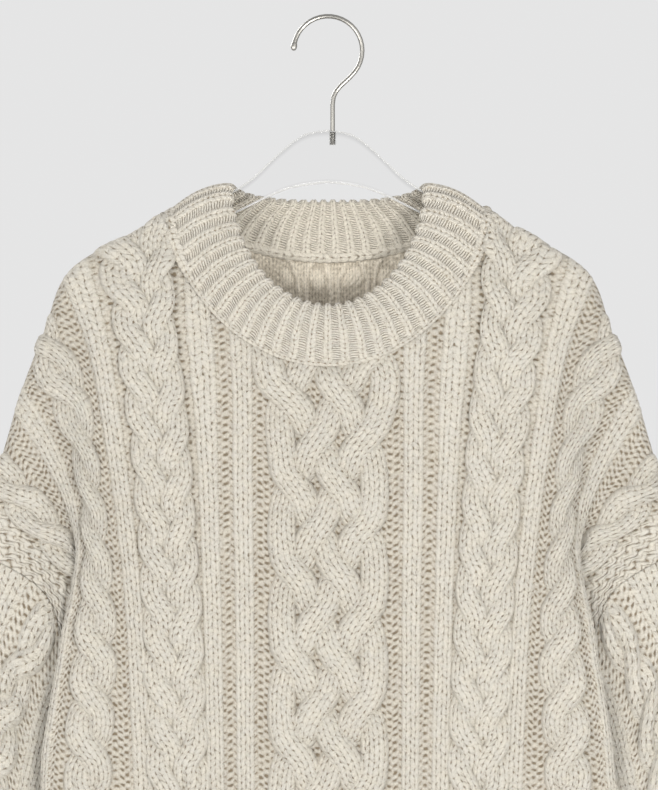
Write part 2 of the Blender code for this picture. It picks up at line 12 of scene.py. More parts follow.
import bpy
import numpy as np
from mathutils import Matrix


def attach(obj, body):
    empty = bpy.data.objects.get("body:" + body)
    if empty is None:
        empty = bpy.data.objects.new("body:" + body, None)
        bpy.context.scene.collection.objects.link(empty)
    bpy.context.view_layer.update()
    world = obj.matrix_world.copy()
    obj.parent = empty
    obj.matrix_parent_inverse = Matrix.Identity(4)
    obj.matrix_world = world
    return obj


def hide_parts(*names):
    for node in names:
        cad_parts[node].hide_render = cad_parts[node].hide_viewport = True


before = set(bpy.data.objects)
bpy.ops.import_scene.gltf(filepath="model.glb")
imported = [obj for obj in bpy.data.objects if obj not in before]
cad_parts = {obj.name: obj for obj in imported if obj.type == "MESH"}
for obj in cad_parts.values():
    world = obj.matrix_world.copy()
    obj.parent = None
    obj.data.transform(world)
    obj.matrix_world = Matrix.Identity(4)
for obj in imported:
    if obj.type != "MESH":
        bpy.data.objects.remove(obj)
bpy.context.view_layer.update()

MM = 0.001

# ---- form, as in part.py
WALL = 4.0
COLLAR_WALL = 8.0
HALF_GAP = 0.15
NECK_HALF = 136.5
NECK_Z = -166.0
FRONT_NECK_DROP = 131.5
BACK_NECK_DROP = 39.0
FRONT_NECK_DEPTH = 37.0
BACK_NECK_DEPTH = 29.0
FRONT_NECK_POWER = 0.6
BACK_NECK_POWER = 0.8
NECK_CORNER_DEPTH = 14.0
NECK_PLAN_POWER = 0.5
COLLAR_HALF = 85.0
COLLAR_SIDE_Z = -138.0
COLLAR_FRONT_DROP = 111.0
COLLAR_BACK_DROP = 19.0
COLLAR_FRONT_DEPTH = 47.0
COLLAR_BACK_DEPTH = 31.0
COLLAR_PLAN_POWER = 0.3
COLLAR_SWELL = 5.0
COLLAR_OUTWARD = np.array([1 / 136.5, 1 / 40, 0.0])
COLLAR_LIFT = 0.6
BACK_SHARE = 0.8
FOLD_RADIUS = 12.0
SEAM_RADIUS = 7.0
UNDERARM_FALL = 0.5
CLOSING_FALL = 0.25
HEM_Z = -740.0
HEM_BOTTOM_Z = -806.0
HEM_PULL = 0.965
HEM_TURN = 2.5          # height that its turned edge and its seam take
HEM_RIBS = 0.9          # of those that would fit side by side
SEAM_GAP = 0.3          # left between pieces that are sewn together
WALES = {
    "centre": 0, "plait": 60, "band": 100, "neck": 115, "v_cable": 131,
    "edge_band": 160, "cable_a": 200, "lip_front": 225, "lip_edge": 243,
    "lip_back": 258, "tuck": 280, "cable_b": 305, "seam": 350,
}
WALE_AT = tuple(WALES.values())
NECK_WALE = WALES["neck"]
SEAM_WALE = WALES["seam"]
SHOULDER_AT = tuple(at for at in WALE_AT if at >= NECK_WALE)
SHOULDER_Z = (-166, -178, -212, -272, -307, -333, -354, -386, -418, -458)
SECTIONS = (
    {"fall": 0.0,
     "across": (0, 60, 114, 136.5, 157, 219, 247, 261, 270, 276, 285, 292, 303),
     "depth": (37, 35, 24, 14, 12, 12, 12, 12, 12, 12, 12, 12, 12)},
    {"fall": 0.1,
     "across": (0, 60, 110, 136, 156, 201, 223, 235, 244, 250, 256, 257, 254),
     "depth": (36, 36, 32, 28, 27, 22, 19, 18, 17, 16, 14, 13, 11)},
    {"fall": 0.28,
     "across": (0, 60, 105, 124, 146, 183, 206, 211, 217, 214, 204, 213, 228),
     "depth": (35, 35, 34, 33, 32, 31, 31, 29, 22, 15, 10, 11, 10)},
    {"fall": 0.5,
     "across": (0, 59, 101, 117, 136, 168, 199, 218, 229, 223, 198, 205, 213),
     "depth": (34, 34, 34, 34, 34, 34, 34, 32, 24, 16, 10, 10, 9)},
    {"fall": 0.75,
     "across": (0, 59, 98, 113, 129, 159, 203, 233, 245, 239, 214, 215, 220),
     "depth": (35, 35, 35, 35, 35, 35, 35, 33, 25, 17, 11, 11, 9)},
    {"fall": 1.0,
     "across": (0, 58, 96, 111, 126, 154, 205, 238, 248, 246, 236, 236, 239),
     "depth": (36, 36, 36, 36, 36, 36, 36, 34, 27, 20, 15, 13, 9)},
)
ARMHOLE_FALLS = (0, 0.006, 0.018, 0.036, 0.08, 0.14, 0.21, 0.28, 0.36, 0.43, 0.5)
SLEEVE_RINGS = (
    {"outer": (316, -512), "inner": (224, -638), "half": 9.0},
    {"outer": (326, -566), "inner": (234, -672), "half": 11.5},
    {"outer": (336, -636), "inner": (246, -714), "half": 14.0},
    {"outer": (343, -716), "inner": (256, -766), "half": 16.0},
    {"outer": (345, -804), "inner": (264, -812), "half": 16.0},
)
CUFF_LENGTH = 68.0
CUFF_PULL = 0.9
CUFF_TUCK = 2.0         # the cuff is drawn up this far into the sleeve
CUFF_RIBS = 11
ARCH_TOP = ((0, -96), (20, -99.5), (38, -112), (66, -138), (90, -153.5), (112, -165.5), (132, -175.5))
ARCH_BOTTOM = ((0, -142), (33, -147), (75, -166), (110, -183), (150, -204), (190, -225))
FLAT = np.array([1.0, 1.0, 0.0])        # leaves out the height of a direction

# ---- creases
# Each crease runs from one wale and height above the hem to another, in millimetres;
# then its depth and width. On a sleeve it is distance round and down the sleeve.
FRONT_CREASES = (
    (-322, 228, -246, 196, 2.2, 11), (-318, 176, -262, 142, 3.0, 13), (-300, 120, -238, 60, 1.8, 16),
    (-172, 10, -150, 128, 2.6, 20), (-60, -10, -74, 86, 1.9, 17), (36, 0, 52, 112, 2.3, 22),
    (148, -10, 118, 74, 1.6, 18), (214, 8, 232, 140, 2.4, 19), (320, 240, 252, 214, 2.6, 12),
    (316, 168, 254, 150, 2.0, 10), (304, 96, 262, 36, 2.7, 15), (-118, 520, -96, 450, 1.3, 9),
    (126, 536, 104, 478, 1.6, 9),
)
BACK_CREASES = (
    (-84, 498, 20, 478, 2.0, 13), (-30, 452, 96, 470, 1.5, 12), (-318, 236, -214, 262, 2.8, 14),
    (-306, 168, -222, 120, 2.2, 15), (-206, 0, -180, 150, 3.0, 22), (-92, -10, -112, 96, 2.0, 18),
    (8, 0, -10, 176, 2.6, 24), (102, 0, 122, 84, 1.7, 17), (196, -10, 174, 132, 2.9, 21),
    (316, 246, 232, 240, 2.1, 12), (310, 190, 228, 128, 2.6, 16), (150, 400, 214, 330, 1.8, 15),
    (-140, 372, -206, 318, 1.4, 14),
)
SLEEVE_CREASES = {
    1: ((20, 62, 96, 80, 2.2, 9), (150, 40, 214, 64, 2.6, 10), (36, 132, 120, 120, 1.8, 12),
        (196, 150, 262, 128, 2.4, 11), (70, 206, 150, 224, 2.9, 12), (230, 232, 282, 214, 1.6, 9)),
    -1: ((34, 48, 104, 74, 2.5, 10), (170, 58, 226, 40, 1.9, 9), (12, 120, 92, 142, 2.6, 12),
         (206, 118, 270, 140, 2.0, 12), (60, 226, 142, 206, 2.2, 11), (214, 208, 268, 230, 2.8, 13)),
}

# ---- knitting
ROW = 6.32              # height of a row of body stitches
RIB_ROW = 4.6           # and of a row of the finer ribs
RIB_REPEAT = 15.0       # one knit and one purl column of a rib
KNIT_SHARE = 0.6        # of it that the knit column takes
PER_ROW = 4             # mesh samples to a row
COARSE_PER_ROW = 2      # on the back, to keep its triangles few
SLEEVE_PER_ROW = 3
KNIT_SPOTS = (0.0, 0.16, 0.34, 0.5, 0.66, 0.84)     # mesh samples across one stitch
COARSE_SPOTS = (0.0, 0.25, 0.5, 0.75)
COVERED_SPOTS = (0.0, 0.5)      # where a cable lies on the stitch
RIB_KNIT_SPOTS = (0.0, 0.12, 0.3, 0.5, 0.7, 0.88)
RIB_PURL_SPOTS = (0.0, 0.2, 0.5, 0.8)
SLEEVE_SPOTS = (0.0, 0.2, 0.5, 0.8)
STRAND_SPOTS = 7        # mesh samples across one stitch of a cable
COARSE_STRAND_SPOTS = 4
SLEEVE_STRAND_SAMPLES = 9       # across a whole strand of two stitches
CLOTH_SINK = -1.5       # level to which the ground sinks at its edges
SLEEVE_SINK = -1.2
EDGE = 0.02             # a point this little of a row from an edge counts as beyond it
COLUMN_KEYS = ("kind", "from", "to", "stitches", "level", "covered")


def columns_of(*rows):
    return tuple(dict(zip(COLUMN_KEYS, row)) for row in rows)


# Columns from the panel's middle outward; they mirror on the other half. Each has its kind,
# the wales between which it runs, its stitches and the height of its ground above the
# cloth's face. True means that a cable lies on it.
COLUMNS = columns_of(
    ("purl", 0, 53, 6, -3.2, True),
    ("purl", 53, 64, 1, -3.0),
    ("knit", 64, 80, 2, 0.2),
    ("purl", 80, 91, 1, -3.1),
    ("knit", 91, 107, 2, 0.2),
    ("purl", 107, 154, 5, -3.2, True),
    ("knit", 154, 169, 2, 0.2),
    ("purl", 169, 177, 1, -3.0),
    ("purl", 177, 225, 5, -3.2, True),
    ("purl", 225, 231, 1, -2.6),
    ("knit", 231, 247, 2, 0.2),
    ("purl", 247, 262, 2, -2.6),
    ("purl", 262, 304, 4, -3.0, True),
    ("moss", 304, 350, 7, -0.6),
)
# Columns of half a sleeve, from its outer edge to the underarm, placed by stitches
SLEEVE_COLUMNS = columns_of(
    ("knit", 0, 5, 5, -0.6),
    ("purl", 5, 6, 1, -1.8),
    ("purl", 6, 10, 4, -2.4),
    ("purl", 10, 11, 1, -1.8),
    ("knit", 11, 16, 5, -0.6),
)
SLEEVE_STITCHES = 32    # round the whole sleeve
SLEEVE_CABLE_AT = 8.0
RELIEF = {"knit": 1.3, "purl": 1.3, "moss": 2.2}    # height of each kind of stitch
CHANGE = 1.3            # a column passes into the next from this far before its end
SLEEVE_CHANGE = 0.15    # the same on a sleeve, in stitches

# Cables: slots are the places a strand can take, from left to right of the cable.
# Going down, step by step, the listed pairs of slots change places; over tells
# whether the strand going right (+1) or the one going left (-1) is on top. swing tells
# how far a strand's path is drawn to its slots (0 to 1), square how flat its top is.
PLAIT = {
    "slots": (-38.2, -19.1, 0.0, 19.1, 38.2), "stitches": 3, "width": 25.4, "step": 6,
    "top_z": -382.5, "crossings": (((0, 1), (2, 1)), ((1, -1), (3, -1))), "fan": 0.28,
    "swing": 0.4, "square": 3.4,
}
CHEVRON = {"stitches": 2.5, "width": 21.0, "step": 6, "fan": 0.15, "swing": 0.9, "square": 6.0}
V_LEFT = {**CHEVRON, "slots": (-16.9, -5.6), "top_z": -334.0, "crossings": (((0, 1),),)}
V_RIGHT = {**CHEVRON, "slots": (5.6, 16.9), "top_z": -348.0, "crossings": (((0, -1),),)}
ROPE = {"step": 7, "crossings": (((0, 1),),), "fan": 0.0, "swing": 0.5, "square": 3.8}
ROPE_A = {**ROPE, "slots": (-9.6, 9.6), "stitches": 3, "width": 24.0, "top_z": -430.0}
ROPE_B = {**ROPE, "slots": (-9.4, 9.4), "stitches": 2.5, "width": 22.0, "top_z": -450.0}

# Which cable lies on which wale, and whether it is mirrored
V_AT = 131.5
ROPE_A_AT = 201.0
ROPE_B_AT = 283.0
PLAITS = [(PLAIT, 0.0, False)]
CHEVRONS = [(cable, at, False) for at in (-V_AT, V_AT) for cable in (V_LEFT, V_RIGHT)]
ROPES = [(ROPE_A, -ROPE_A_AT, False), (ROPE_A, ROPE_A_AT, True),
         (ROPE_B, -ROPE_B_AT, False), (ROPE_B, ROPE_B_AT, True)]

FAN_ROWS = 13           # a fanned cable spreads over this many rows below the neck
LEAN = 0.3              # share of a strand's slant that its rows take on
STRAND_FLOOR = -4.0     # a strand's edges dip to here, out of sight
STRAND_TOP = 3.6
OVER = 3.2              # how much higher a strand lies where it passes over
UNDER = -3.6

# The cables from behind repeat in cells of so many rows and millimetres: a ladder with two
# bars, one of them on ladder_at, and a knot, by so many rows over the ladder's middle. They
# start at a wale to the wearer's right; beyond it lies plain ground.
WRONG_SIDE = {
    "rows": 9.0, "width": 31.0, "ladder_at": 6.6, "bar_from_middle": 3.0, "bar_half": 2.4,
    "bar_height": 2.9, "rung_height": 1.6, "knot_over": 1.4, "knot_half": 8.8,
    "knot_half_rows": 1.5, "knot_height": 3.0, "yarn": 4.8, "ground_height": 1.9,
    "ground_stitch": 6.0, "from": -44, "full_from": -38,
}
# They show in the back of the neck, from a row up and to a wale on either side of the middle.
# The mesh is fine there; next to each fine pitch stands that of the rest.
SHOWN_ROW = 66
SHOWN_WALE = 100
SHOWN_PITCH = 1.2
HIDDEN_PITCH = 6.1
SHOWN_ROW_STEP = 0.19
HIDDEN_ROW_STEP = 2.0
FRONT_ROW_STEP = 1.0    # inside the front
INNER_STITCH = 5.5      # width of a stitch of the wrong side
INNER_LIFT = 3.9        # most that its cables stand out


# ---- curves

def smooth(knots, values, at):
    """Values of a smooth curve through the knots (a cubic Hermite curve)."""
    knots = np.asarray(knots, float)
    values = np.asarray(values, float)
    slopes = np.gradient(values, knots, axis=0)
    at = np.clip(np.asarray(at, float), knots[0], knots[-1])
    i = np.clip(np.searchsorted(knots, at, side="right") - 1, 0, len(knots) - 2)
    span = knots[i + 1] - knots[i]
    t = (at - knots[i]) / span
    shape = t.shape + (1,) * (values.ndim - 1)
    t = t.reshape(shape)
    span = span.reshape(shape)
    stay = 2 * t**3 - 3 * t**2 + 1
    leave = (t**3 - 2 * t**2 + t) * span
    arrive = (t**3 - t**2) * span
    return stay * values[i] + leave * slopes[i] + (1 - stay) * values[i + 1] + arrive * slopes[i + 1]


def crease_lift(creases, along, up):
    """Height of the creases: each a valley with a lower ridge on one side, fading at its ends."""
    total = np.zeros(np.broadcast(along, up).shape)
    for from_along, from_up, to_along, to_up, depth, width in creases:
        way = np.array([to_along - from_along, to_up - from_up], float)
        length = np.hypot(*way)
        way = way / length
        share = ((along - from_along) * way[0] + (up - from_up) * way[1]) / length
        aside = ((along - from_along) * way[1] - (up - from_up) * way[0]) / width
        profile = 0.5 * np.exp(-(aside - 1.7) ** 2) - np.exp(-aside**2)
        total += depth * profile * ease(-0.15, 0.35, share) * ease(1.15, 0.6, share)
    return total


def ease(low, high, at):
    t = np.clip((np.asarray(at, float) - low) / (high - low), 0, 1)
    return t * t * (3 - 2 * t)


def roll(distance, radius):
    left = 1 - np.clip(np.asarray(distance, float) / radius, 0, 1)
    return np.sqrt(1 - left * left)


def unit(vectors):
    return vectors / np.maximum(np.linalg.norm(vectors, axis=-1, keepdims=True), 1e-9)


def fraction(value):
    return value - np.floor(value)


WAVES = ((1.0, 1.0, 0.37), (1.0, -0.61, 1.13), (0.7, 2.3, 0.9), (0.7, 0.8, -2.1),
         (0.5, 4.7, -1.9), (0.5, 1.7, 5.3))


def wobble(a, b, seed):
    """Slow unevenness between about -1 and 1, the same on every run."""
    turns = np.random.default_rng(seed).uniform(0, 2 * math.pi, len(WAVES))
    total = 0
    for (height, along_a, along_b), turn in zip(WAVES, turns):
        total = total + height * np.sin(a * along_a + b * along_b + turn)
    return total / 3.2


def way_along(line):
    """Distance along a line of points up to each of them."""
    return np.concatenate([[0], np.cumsum(np.linalg.norm(np.diff(line, axis=0), axis=1))])


def points_at(at, knots, line):
    """Points of a line at places between its knots."""
    return np.stack([np.interp(at, knots, line[:, k]) for k in range(3)], axis=1)


def resample(line, count):
    """The line in a number of even steps."""
    knots = way_along(line)
    return points_at(np.linspace(0, knots[-1], count), knots, line)


def between(table, i, j):
    """A table's values between its cells; past its last row i starts again at the first."""
    i0 = i.astype(int)
    j0 = j.astype(int)
    s = (i - i0)[..., None]
    t = (j - j0)[..., None]
    i1 = (i0 + 1) % len(table)
    i0 = i0 % len(table)
    low = table[i0, j0] * (1 - s) + table[i1, j0] * s
    high = table[i0, j0 + 1] * (1 - s) + table[i1, j0 + 1] * s
    return low * (1 - t) + high * t


# ---- panel form

def neckline_height(side, across):
    inside = np.clip(1 - (across / NECK_HALF) ** 2, 0, 1)
    if side < 0:
        return NECK_Z - FRONT_NECK_DROP * inside**FRONT_NECK_POWER
    return NECK_Z - BACK_NECK_DROP * inside**BACK_NECK_POWER


def neckline_depth(side, across):
    inside = np.clip(1 - (across / NECK_HALF) ** 2, 0, 1)
    middle = FRONT_NECK_DEPTH if side < 0 else BACK_NECK_DEPTH
    corner = NECK_CORNER_DEPTH if side < 0 else NECK_CORNER_DEPTH * BACK_SHARE
    drop = NECK_Z - neckline_height(side, across)
    return (corner + (middle - corner) * inside**NECK_PLAN_POWER) * roll(drop, FOLD_RADIUS)


def panel(side, wale, fall):
    """Points of a panel's outer face, wale by wale; fall runs from its top to the hem."""
    wale = np.asarray(wale, float)
    flat = np.abs(wale)
    falls = [row["fall"] for row in SECTIONS]
    across_rows = np.array([smooth(WALE_AT, row["across"], flat) for row in SECTIONS])
    depth_rows = np.array([smooth(WALE_AT, row["depth"], flat) for row in SECTIONS])
    across = smooth(falls, across_rows, fall).T
    depth = smooth(falls, depth_rows, fall).T
    if side > 0:
        depth = depth * BACK_SHARE

    on_neck = flat <= NECK_WALE
    shoulder = smooth(SHOULDER_AT, SHOULDER_Z, np.maximum(flat, NECK_WALE))
    top = np.where(on_neck, neckline_height(side, across_rows[0]), shoulder)
    top_depth = np.where(on_neck, neckline_depth(side, across_rows[0]), 0.0)
    drop = (top - HEM_Z)[:, None] * np.asarray(fall, float)[None, :]
    depth = top_depth[:, None] + (depth - top_depth[:, None]) * roll(drop, FOLD_RADIUS)
    rounded = depth * roll(SEAM_WALE - flat, SEAM_RADIUS)[:, None]
    depth = depth + (rounded - depth) * ease(CLOSING_FALL, UNDERARM_FALL, fall)[None, :]
    depth = np.maximum(depth, HALF_GAP)
    return np.stack([np.sign(wale)[:, None] * across, side * depth, top[:, None] - drop], axis=-1)


class Form:
    """A surface held as a table of points, to be looked up by two coordinates."""

    def crease(self, lift):
        """Moves the points out by a lift along their normals."""
        self.normals = self.facing()
        self.points = self.points + self.normals * lift[..., None]
        self.normals = self.facing()

    def at(self, a, b, lift):
        a, b, lift = np.broadcast_arrays(a, b, lift)
        outward = unit(self.look_up(self.normals, a, b))
        return self.look_up(self.points, a, b) + outward * lift[..., None]


class PanelForm(Form):
    """A panel's face, looked up by wale and row."""

    PITCH = 2.0         # mm between looked-up wales
    ROW_STEP = 0.5      # rows between looked-up heights
    TANGENT = 6         # samples used for the direction past the top edge
    FALLS = np.linspace(0, 1, 261) ** 1.6       # closer together near the top

    def __init__(self, side):
        self.side = side
        self.wales = np.arange(-SEAM_WALE, SEAM_WALE + self.PITCH / 2, self.PITCH)
        face = panel(side, self.wales, self.FALLS)[:, ::-1]
        lengths = [way_along(line) for line in face]
        self.top = np.array([length[-1] for length in lengths]) / ROW
        up = np.arange(0, self.top.max() + 3, self.ROW_STEP) * ROW
        self.points = np.empty((len(face), len(up), 3))
        for i, (line, length) in enumerate(zip(face, lengths)):
            beyond = np.maximum(up - length[-1], 0)[:, None]
            ahead = unit(line[-1] - line[-1 - self.TANGENT])
            self.points[i] = points_at(up, length, line) + ahead * beyond
        creases = FRONT_CREASES if side < 0 else BACK_CREASES
        self.crease(crease_lift(creases, self.wales[:, None], up))

    def facing(self):
        across = np.gradient(self.points, axis=0)
        up = np.gradient(self.points, axis=1)
        return unit(np.cross(across, up)) * -self.side

    def look_up(self, table, wale, row):
        i = np.clip((wale + SEAM_WALE) / self.PITCH, 0, table.shape[0] - 1.001)
        j = np.clip(row / self.ROW_STEP, 0, table.shape[1] - 1.001)
        return between(table, i, j)

    def top_at(self, wale):
        return np.interp(wale, self.wales, self.top)


def below_top(rows, top):
    """Mask of the quads of a grid that start below the panel's top edge."""
    inside = rows < top - EDGE
    return inside[:-1, :-1] | inside[1:, :-1]


def keep_apart(points, side):
    """Holds a panel's points off the plane between front and back."""
    points[..., 1] = side * np.maximum(points[..., 1] * side, HALF_GAP)


# ---- stitches

def knit_height(x, y):
    """Two slanting legs of a knit stitch, 0 to 1; x counts stitches, y counts rows."""
    aside = np.abs(2 * fraction(x) - 1)
    leg = 1 - (2 * aside - 1) ** 2
    bead = np.sin(math.pi * fraction(y - 0.5 * aside)) ** 2
    return 0.25 + 0.75 * leg * (0.6 + 0.4 * bead)


def purl_height(x, y):
    """Interlocked bumps: two to a stitch and row, moved by half of each."""
    return 0.5 - 0.5 * np.cos(2 * math.pi * x) * np.cos(2 * math.pi * y)


def moss_height(x, y):
    """Bumps on every other stitch, moved by one stitch from row to row."""
    return 0.5 + 0.5 * np.cos(math.pi * x) * np.cos(math.pi * y)


STITCHES = {"knit": knit_height, "purl": purl_height, "moss": moss_height}


def column_samples(columns, spots):
    """Wales to sample on one half, and the stitch count there."""
    samples = []
    counted = 0
    for column in columns:
        width = (column["to"] - column["from"]) / column["stitches"]
        for k in range(column["stitches"]):
            for spot in COVERED_SPOTS if column.get("covered") else spots:
                samples.append((column["from"] + width * (k + spot), counted + k + spot))
        counted += column["stitches"]
    samples.append((columns[-1]["to"], counted))
    return np.array(samples).T


def column_shares(columns, place, change):
    """Level and share of each kind of stitch at places across the columns."""
    knots = []
    for column in columns:
        knots += [column["from"] + change, column["to"] - change]
    level = np.interp(place, knots, np.repeat([column["level"] for column in columns], 2))
    shares = {}
    for kind in RELIEF:
        here = [float(column["kind"] == kind) for column in columns]
        shares[kind] = np.interp(place, knots, np.repeat(here, 2))
    return level, shares


def column_shift(x):
    """Neighbouring purl columns don't line up: they drift against each other by part of a row."""
    return 0.3 * np.sin(2.7 * x + 4.1)


def stitch_relief(shares, x, y):
    """Height of the mixed stitches."""
    total = 0
    for kind, share in shares.items():
        total = total + share * RELIEF[kind] * STITCHES[kind](x, y)
    return total


# ---- meshes

def link(name, data):
    thing = bpy.data.objects.new(name, data)
    bpy.context.scene.collection.objects.link(thing)
    return thing


def grid_quads(columns, rows, flip, closed=False):
    """Quads of a grid of points stored column by column."""
    i = np.arange(columns if closed else columns - 1)[:, None]
    j = np.arange(rows - 1)[None, :]
    near = i * rows + j
    far = (i + 1) % columns * rows + j
    quads = np.stack([near, far, far + 1, near + 1], axis=-1).reshape(-1, 4)
    return quads[:, ::-1] if flip else quads


class Patchwork:
    """Gathers grids of points into one mesh."""

    def __init__(self):
        self.parts = []
        self.count = 0

    def add(self, points, stitch, kind, recess, flip, closed=False, keep=None):
        """Adds a grid; stitch is x and y, kind the three shares, keep a mask of its quads."""
        shape = points.shape[:2]
        quads = grid_quads(*shape, flip, closed)
        if keep is not None:
            quads = quads[keep.reshape(-1)]
        x, y, *kinds, deep = (
            np.broadcast_to(value, shape).ravel().astype(float) for value in (*stitch, *kind, recess))
        self.parts.append((points.reshape(-1, 3), quads + self.count, np.stack([x, y], -1),
                           np.stack(kinds, -1), deep))
        self.count += shape[0] * shape[1]
        return self

    def build(self, name, material, slot):
        """A piece with its stitch map, its kinds of stitch and how deep each point lies, from which
        the material paints shade, or painted light where it is below nought.
        """
        points, quads, stitch, kind, recess = (np.concatenate(item) for item in zip(*self.parts))
        used = np.unique(quads)
        renumber = np.zeros(len(points), int)
        renumber[used] = np.arange(len(used))
        corners = renumber[quads].ravel()
        mesh = bpy.data.meshes.new(name)
        mesh.vertices.add(len(used))
        mesh.vertices.foreach_set("co", (points[used] * MM).ravel())
        mesh.loops.add(len(corners))
        mesh.loops.foreach_set("vertex_index", corners)
        mesh.polygons.add(len(quads))
        mesh.polygons.foreach_set("loop_start", np.arange(0, len(corners), 4))
        mesh.update(calc_edges=True)
        layer = mesh.uv_layers.new(name="stitch")
        layer.data.foreach_set("uv", stitch[used][corners].ravel())
        kinds = mesh.attributes.new("kind", "FLOAT_VECTOR", "POINT")
        kinds.data.foreach_set("vector", kind[used].ravel())
        mesh.attributes.new("recess", "FLOAT", "POINT").data.foreach_set("value", recess[used])
        mesh.shade_smooth()
        mesh.materials.append(material)
        thing = link(name, mesh)
        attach(thing, "root")
        return thing


# ---- panels

def cloth_sheet(form, name, material, spots, per_row):
    """The panel's ground: bands of knit, purl and moss columns, without its cables."""
    half, counts = column_samples(COLUMNS, spots)
    wale = np.concatenate([-half[:0:-1], half])[:, None]
    x = np.concatenate([-counts[:0:-1], counts])[:, None]
    level, shares = column_shares(COLUMNS, np.abs(wale), CHANGE)
    top = form.top_at(wale)
    rows = np.arange(0, top.max() + 1 / per_row, 1 / per_row)[None, :]
    row = np.minimum(rows, top)
    y = row + 0.12 * wobble(wale * 0.03, row * 0.3, 5)
    y = y + shares["purl"] * column_shift(x)
    x = x + 0.34 * shares["moss"] * wobble(wale * 0.31, row * 1.1, 27)
    relief = level + stitch_relief(shares, x, y)
    relief = relief + 0.5 * wobble(wale * 0.05, row * 0.4, 7)
    edge = ease(0, 1.6, top - row) * (0.3 + 0.7 * ease(0, 1.2, row))
    points = form.at(wale, row, CLOTH_SINK + (relief - CLOTH_SINK) * edge)
    # Painted shade: the deeper the ground lies, the darker the material paints it
    patch = Patchwork().add(points, (x, y), shares.values(), ease(-1.0, -3.0, level),
                            flip=form.side > 0, keep=below_top(rows, top))
    return patch.build(name, material, "wool_cream")


def weave(cable, mirror, steps, seed):
    """Slot offsets and lifts of each strand at every step, from the top down."""
    slots = np.array(cable["slots"])
    if mirror:
        slots = -slots
    order = list(range(len(slots)))
    places = [[slot] for slot in slots]
    lifts = [[] for _ in slots]
    rng = np.random.default_rng(seed)
    for step in range(steps):
        lift = [0.0] * len(slots)
        for left, over in cable["crossings"][step % len(cable["crossings"])]:
            going_right, going_left = order[left], order[left + 1]
            lift[going_right] = OVER if over > 0 else UNDER
            lift[going_left] = UNDER if over > 0 else OVER
            order[left], order[left + 1] = going_left, going_right
        for slot, strand in enumerate(order):
            places[strand].append(slots[slot] + rng.uniform(-0.5, 0.5))
        for strand, value in enumerate(lift):
            lifts[strand].append(value * rng.uniform(0.88, 1.12))
    return np.array(places), np.array(lifts)


def strand_path(place, step, swing):
    """A strand's way from slot to slot, partly flowing and partly pausing at each."""
    flowing = smooth(np.arange(len(place)), place, step)
    at = np.clip(step, 0, len(place) - 1.001)
    k = at.astype(int)
    pausing = place[k] + (place[k + 1] - place[k]) * ease(0.1, 0.9, at - k)
    return flowing + (pausing - flowing) * swing


def strand_dome(u, square):
    """Rounded cross-section of a strand, 1 in its middle and 0 at its edges."""
    return (1 - np.abs(u) ** square) ** 0.6


def cloth_stretch(form, middle, rows):
    """Millimetres of cloth to a millimetre of wale round a cable, row by row."""
    wales = middle + np.linspace(-12, 12, 7)
    line = form.at(wales[:, None], rows[None, :], 0.0)
    length = np.linalg.norm(np.diff(line, axis=0), axis=-1).sum(axis=0)
    return np.clip(length / (wales[-1] - wales[0]), 0.92, 1.4)


def add_strand(patch, form, middle, cable, place, lift, top_row, rows, spots):
    """One strand of a cable, as a fat ribbon that follows its slots down the panel."""
    step = (top_row - rows) / cable["step"]
    fanned = ease(FAN_ROWS, 0, form.top_at(middle) - rows)
    offset = strand_path(place, step, cable["swing"]) * (1 + cable["fan"] * fanned)
    rise = smooth(np.arange(len(lift)) + 0.5, lift, step)
    tilt = np.arctan(np.gradient(offset, rows * ROW))

    x = np.linspace(0, cable["stitches"], int(cable["stitches"] * spots) + 1)[:, None]
    u = 2 * x / cable["stitches"] - 1
    lean = tilt * LEAN
    reach = cable["width"] / 2 * (1 + 0.02 * rise) / np.cos(tilt - lean)
    wale = middle + (offset + u * reach * np.cos(lean)) / cloth_stretch(form, middle, rows)
    row = rows - u * (reach * np.sin(lean)) / ROW
    way = np.concatenate([[0], np.cumsum(np.hypot(np.diff(offset), np.diff(rows) * ROW))])
    y = rows[0] + way / ROW + 0.0 * x
    top = form.top_at(wale)
    edge = ease(0.0, 2.2, top - row) * ease(-0.4, 1.2, row)
    dome = strand_dome(u, cable["square"])
    bulge = STRAND_TOP + rise - STRAND_FLOOR + 0.5 * wobble(rows * 0.5, wale * 0.05, 3)
    height = STRAND_FLOOR + (bulge + RELIEF["knit"] * knit_height(x, y)) * dome
    height = STRAND_FLOOR + (height - STRAND_FLOOR) * (0.35 + 0.65 * edge)
    points = form.at(wale, np.clip(row, 0, top), height)
    inside = (row < top - EDGE) & (row > EDGE)
    keep = inside[:-1, :-1] | inside[1:, :-1] | inside[:-1, 1:] | inside[1:, 1:]
    # Painted shade: darker towards the strand's edges and where it passes under another
    recess = (1 - dome) ** 1.5 + 0.25 * ease(0, -2.0, rise)
    patch.add(points, (x, y), (1.0, 0.0, 0.0), np.clip(recess, 0, 1), flip=form.side > 0,
              keep=keep)


def add_cable(patch, form, cable, middle, mirror, seed, spots, per_row):
    """All strands of one cable, centred on a wale."""
    top_of_panel = form.top_at(middle) + 3
    # Steps are counted from the first whole crossing above the panel's top edge
    anchor = (cable["top_z"] - HEM_Z) / ROW
    cycle = cable["step"] * len(cable["crossings"])
    top_row = anchor + math.ceil((top_of_panel - anchor) / cycle) * cycle
    steps = math.ceil(top_row / cable["step"]) + 1
    places, lifts = weave(cable, mirror, steps, seed)
    rows = np.arange(-1.0, top_of_panel, 1 / per_row)
    for place, lift in zip(places, lifts):
        add_strand(patch, form, middle, cable, place, lift, top_row, rows, spots)


def cable_piece(form, name, placings, material, spots, per_row):
    patch = Patchwork()
    for seed, (cable, middle, mirror) in enumerate(placings):
        add_cable(patch, form, cable, middle, mirror, seed + 11, spots, per_row)
    return patch.build(name, material, "wool_cream")


def ridge(distance, radius):
    """Rounded ridge, 1 along its middle line and 0 beyond its radius."""
    return np.sqrt(np.clip(1 - (distance / radius) ** 2, 0, 1))


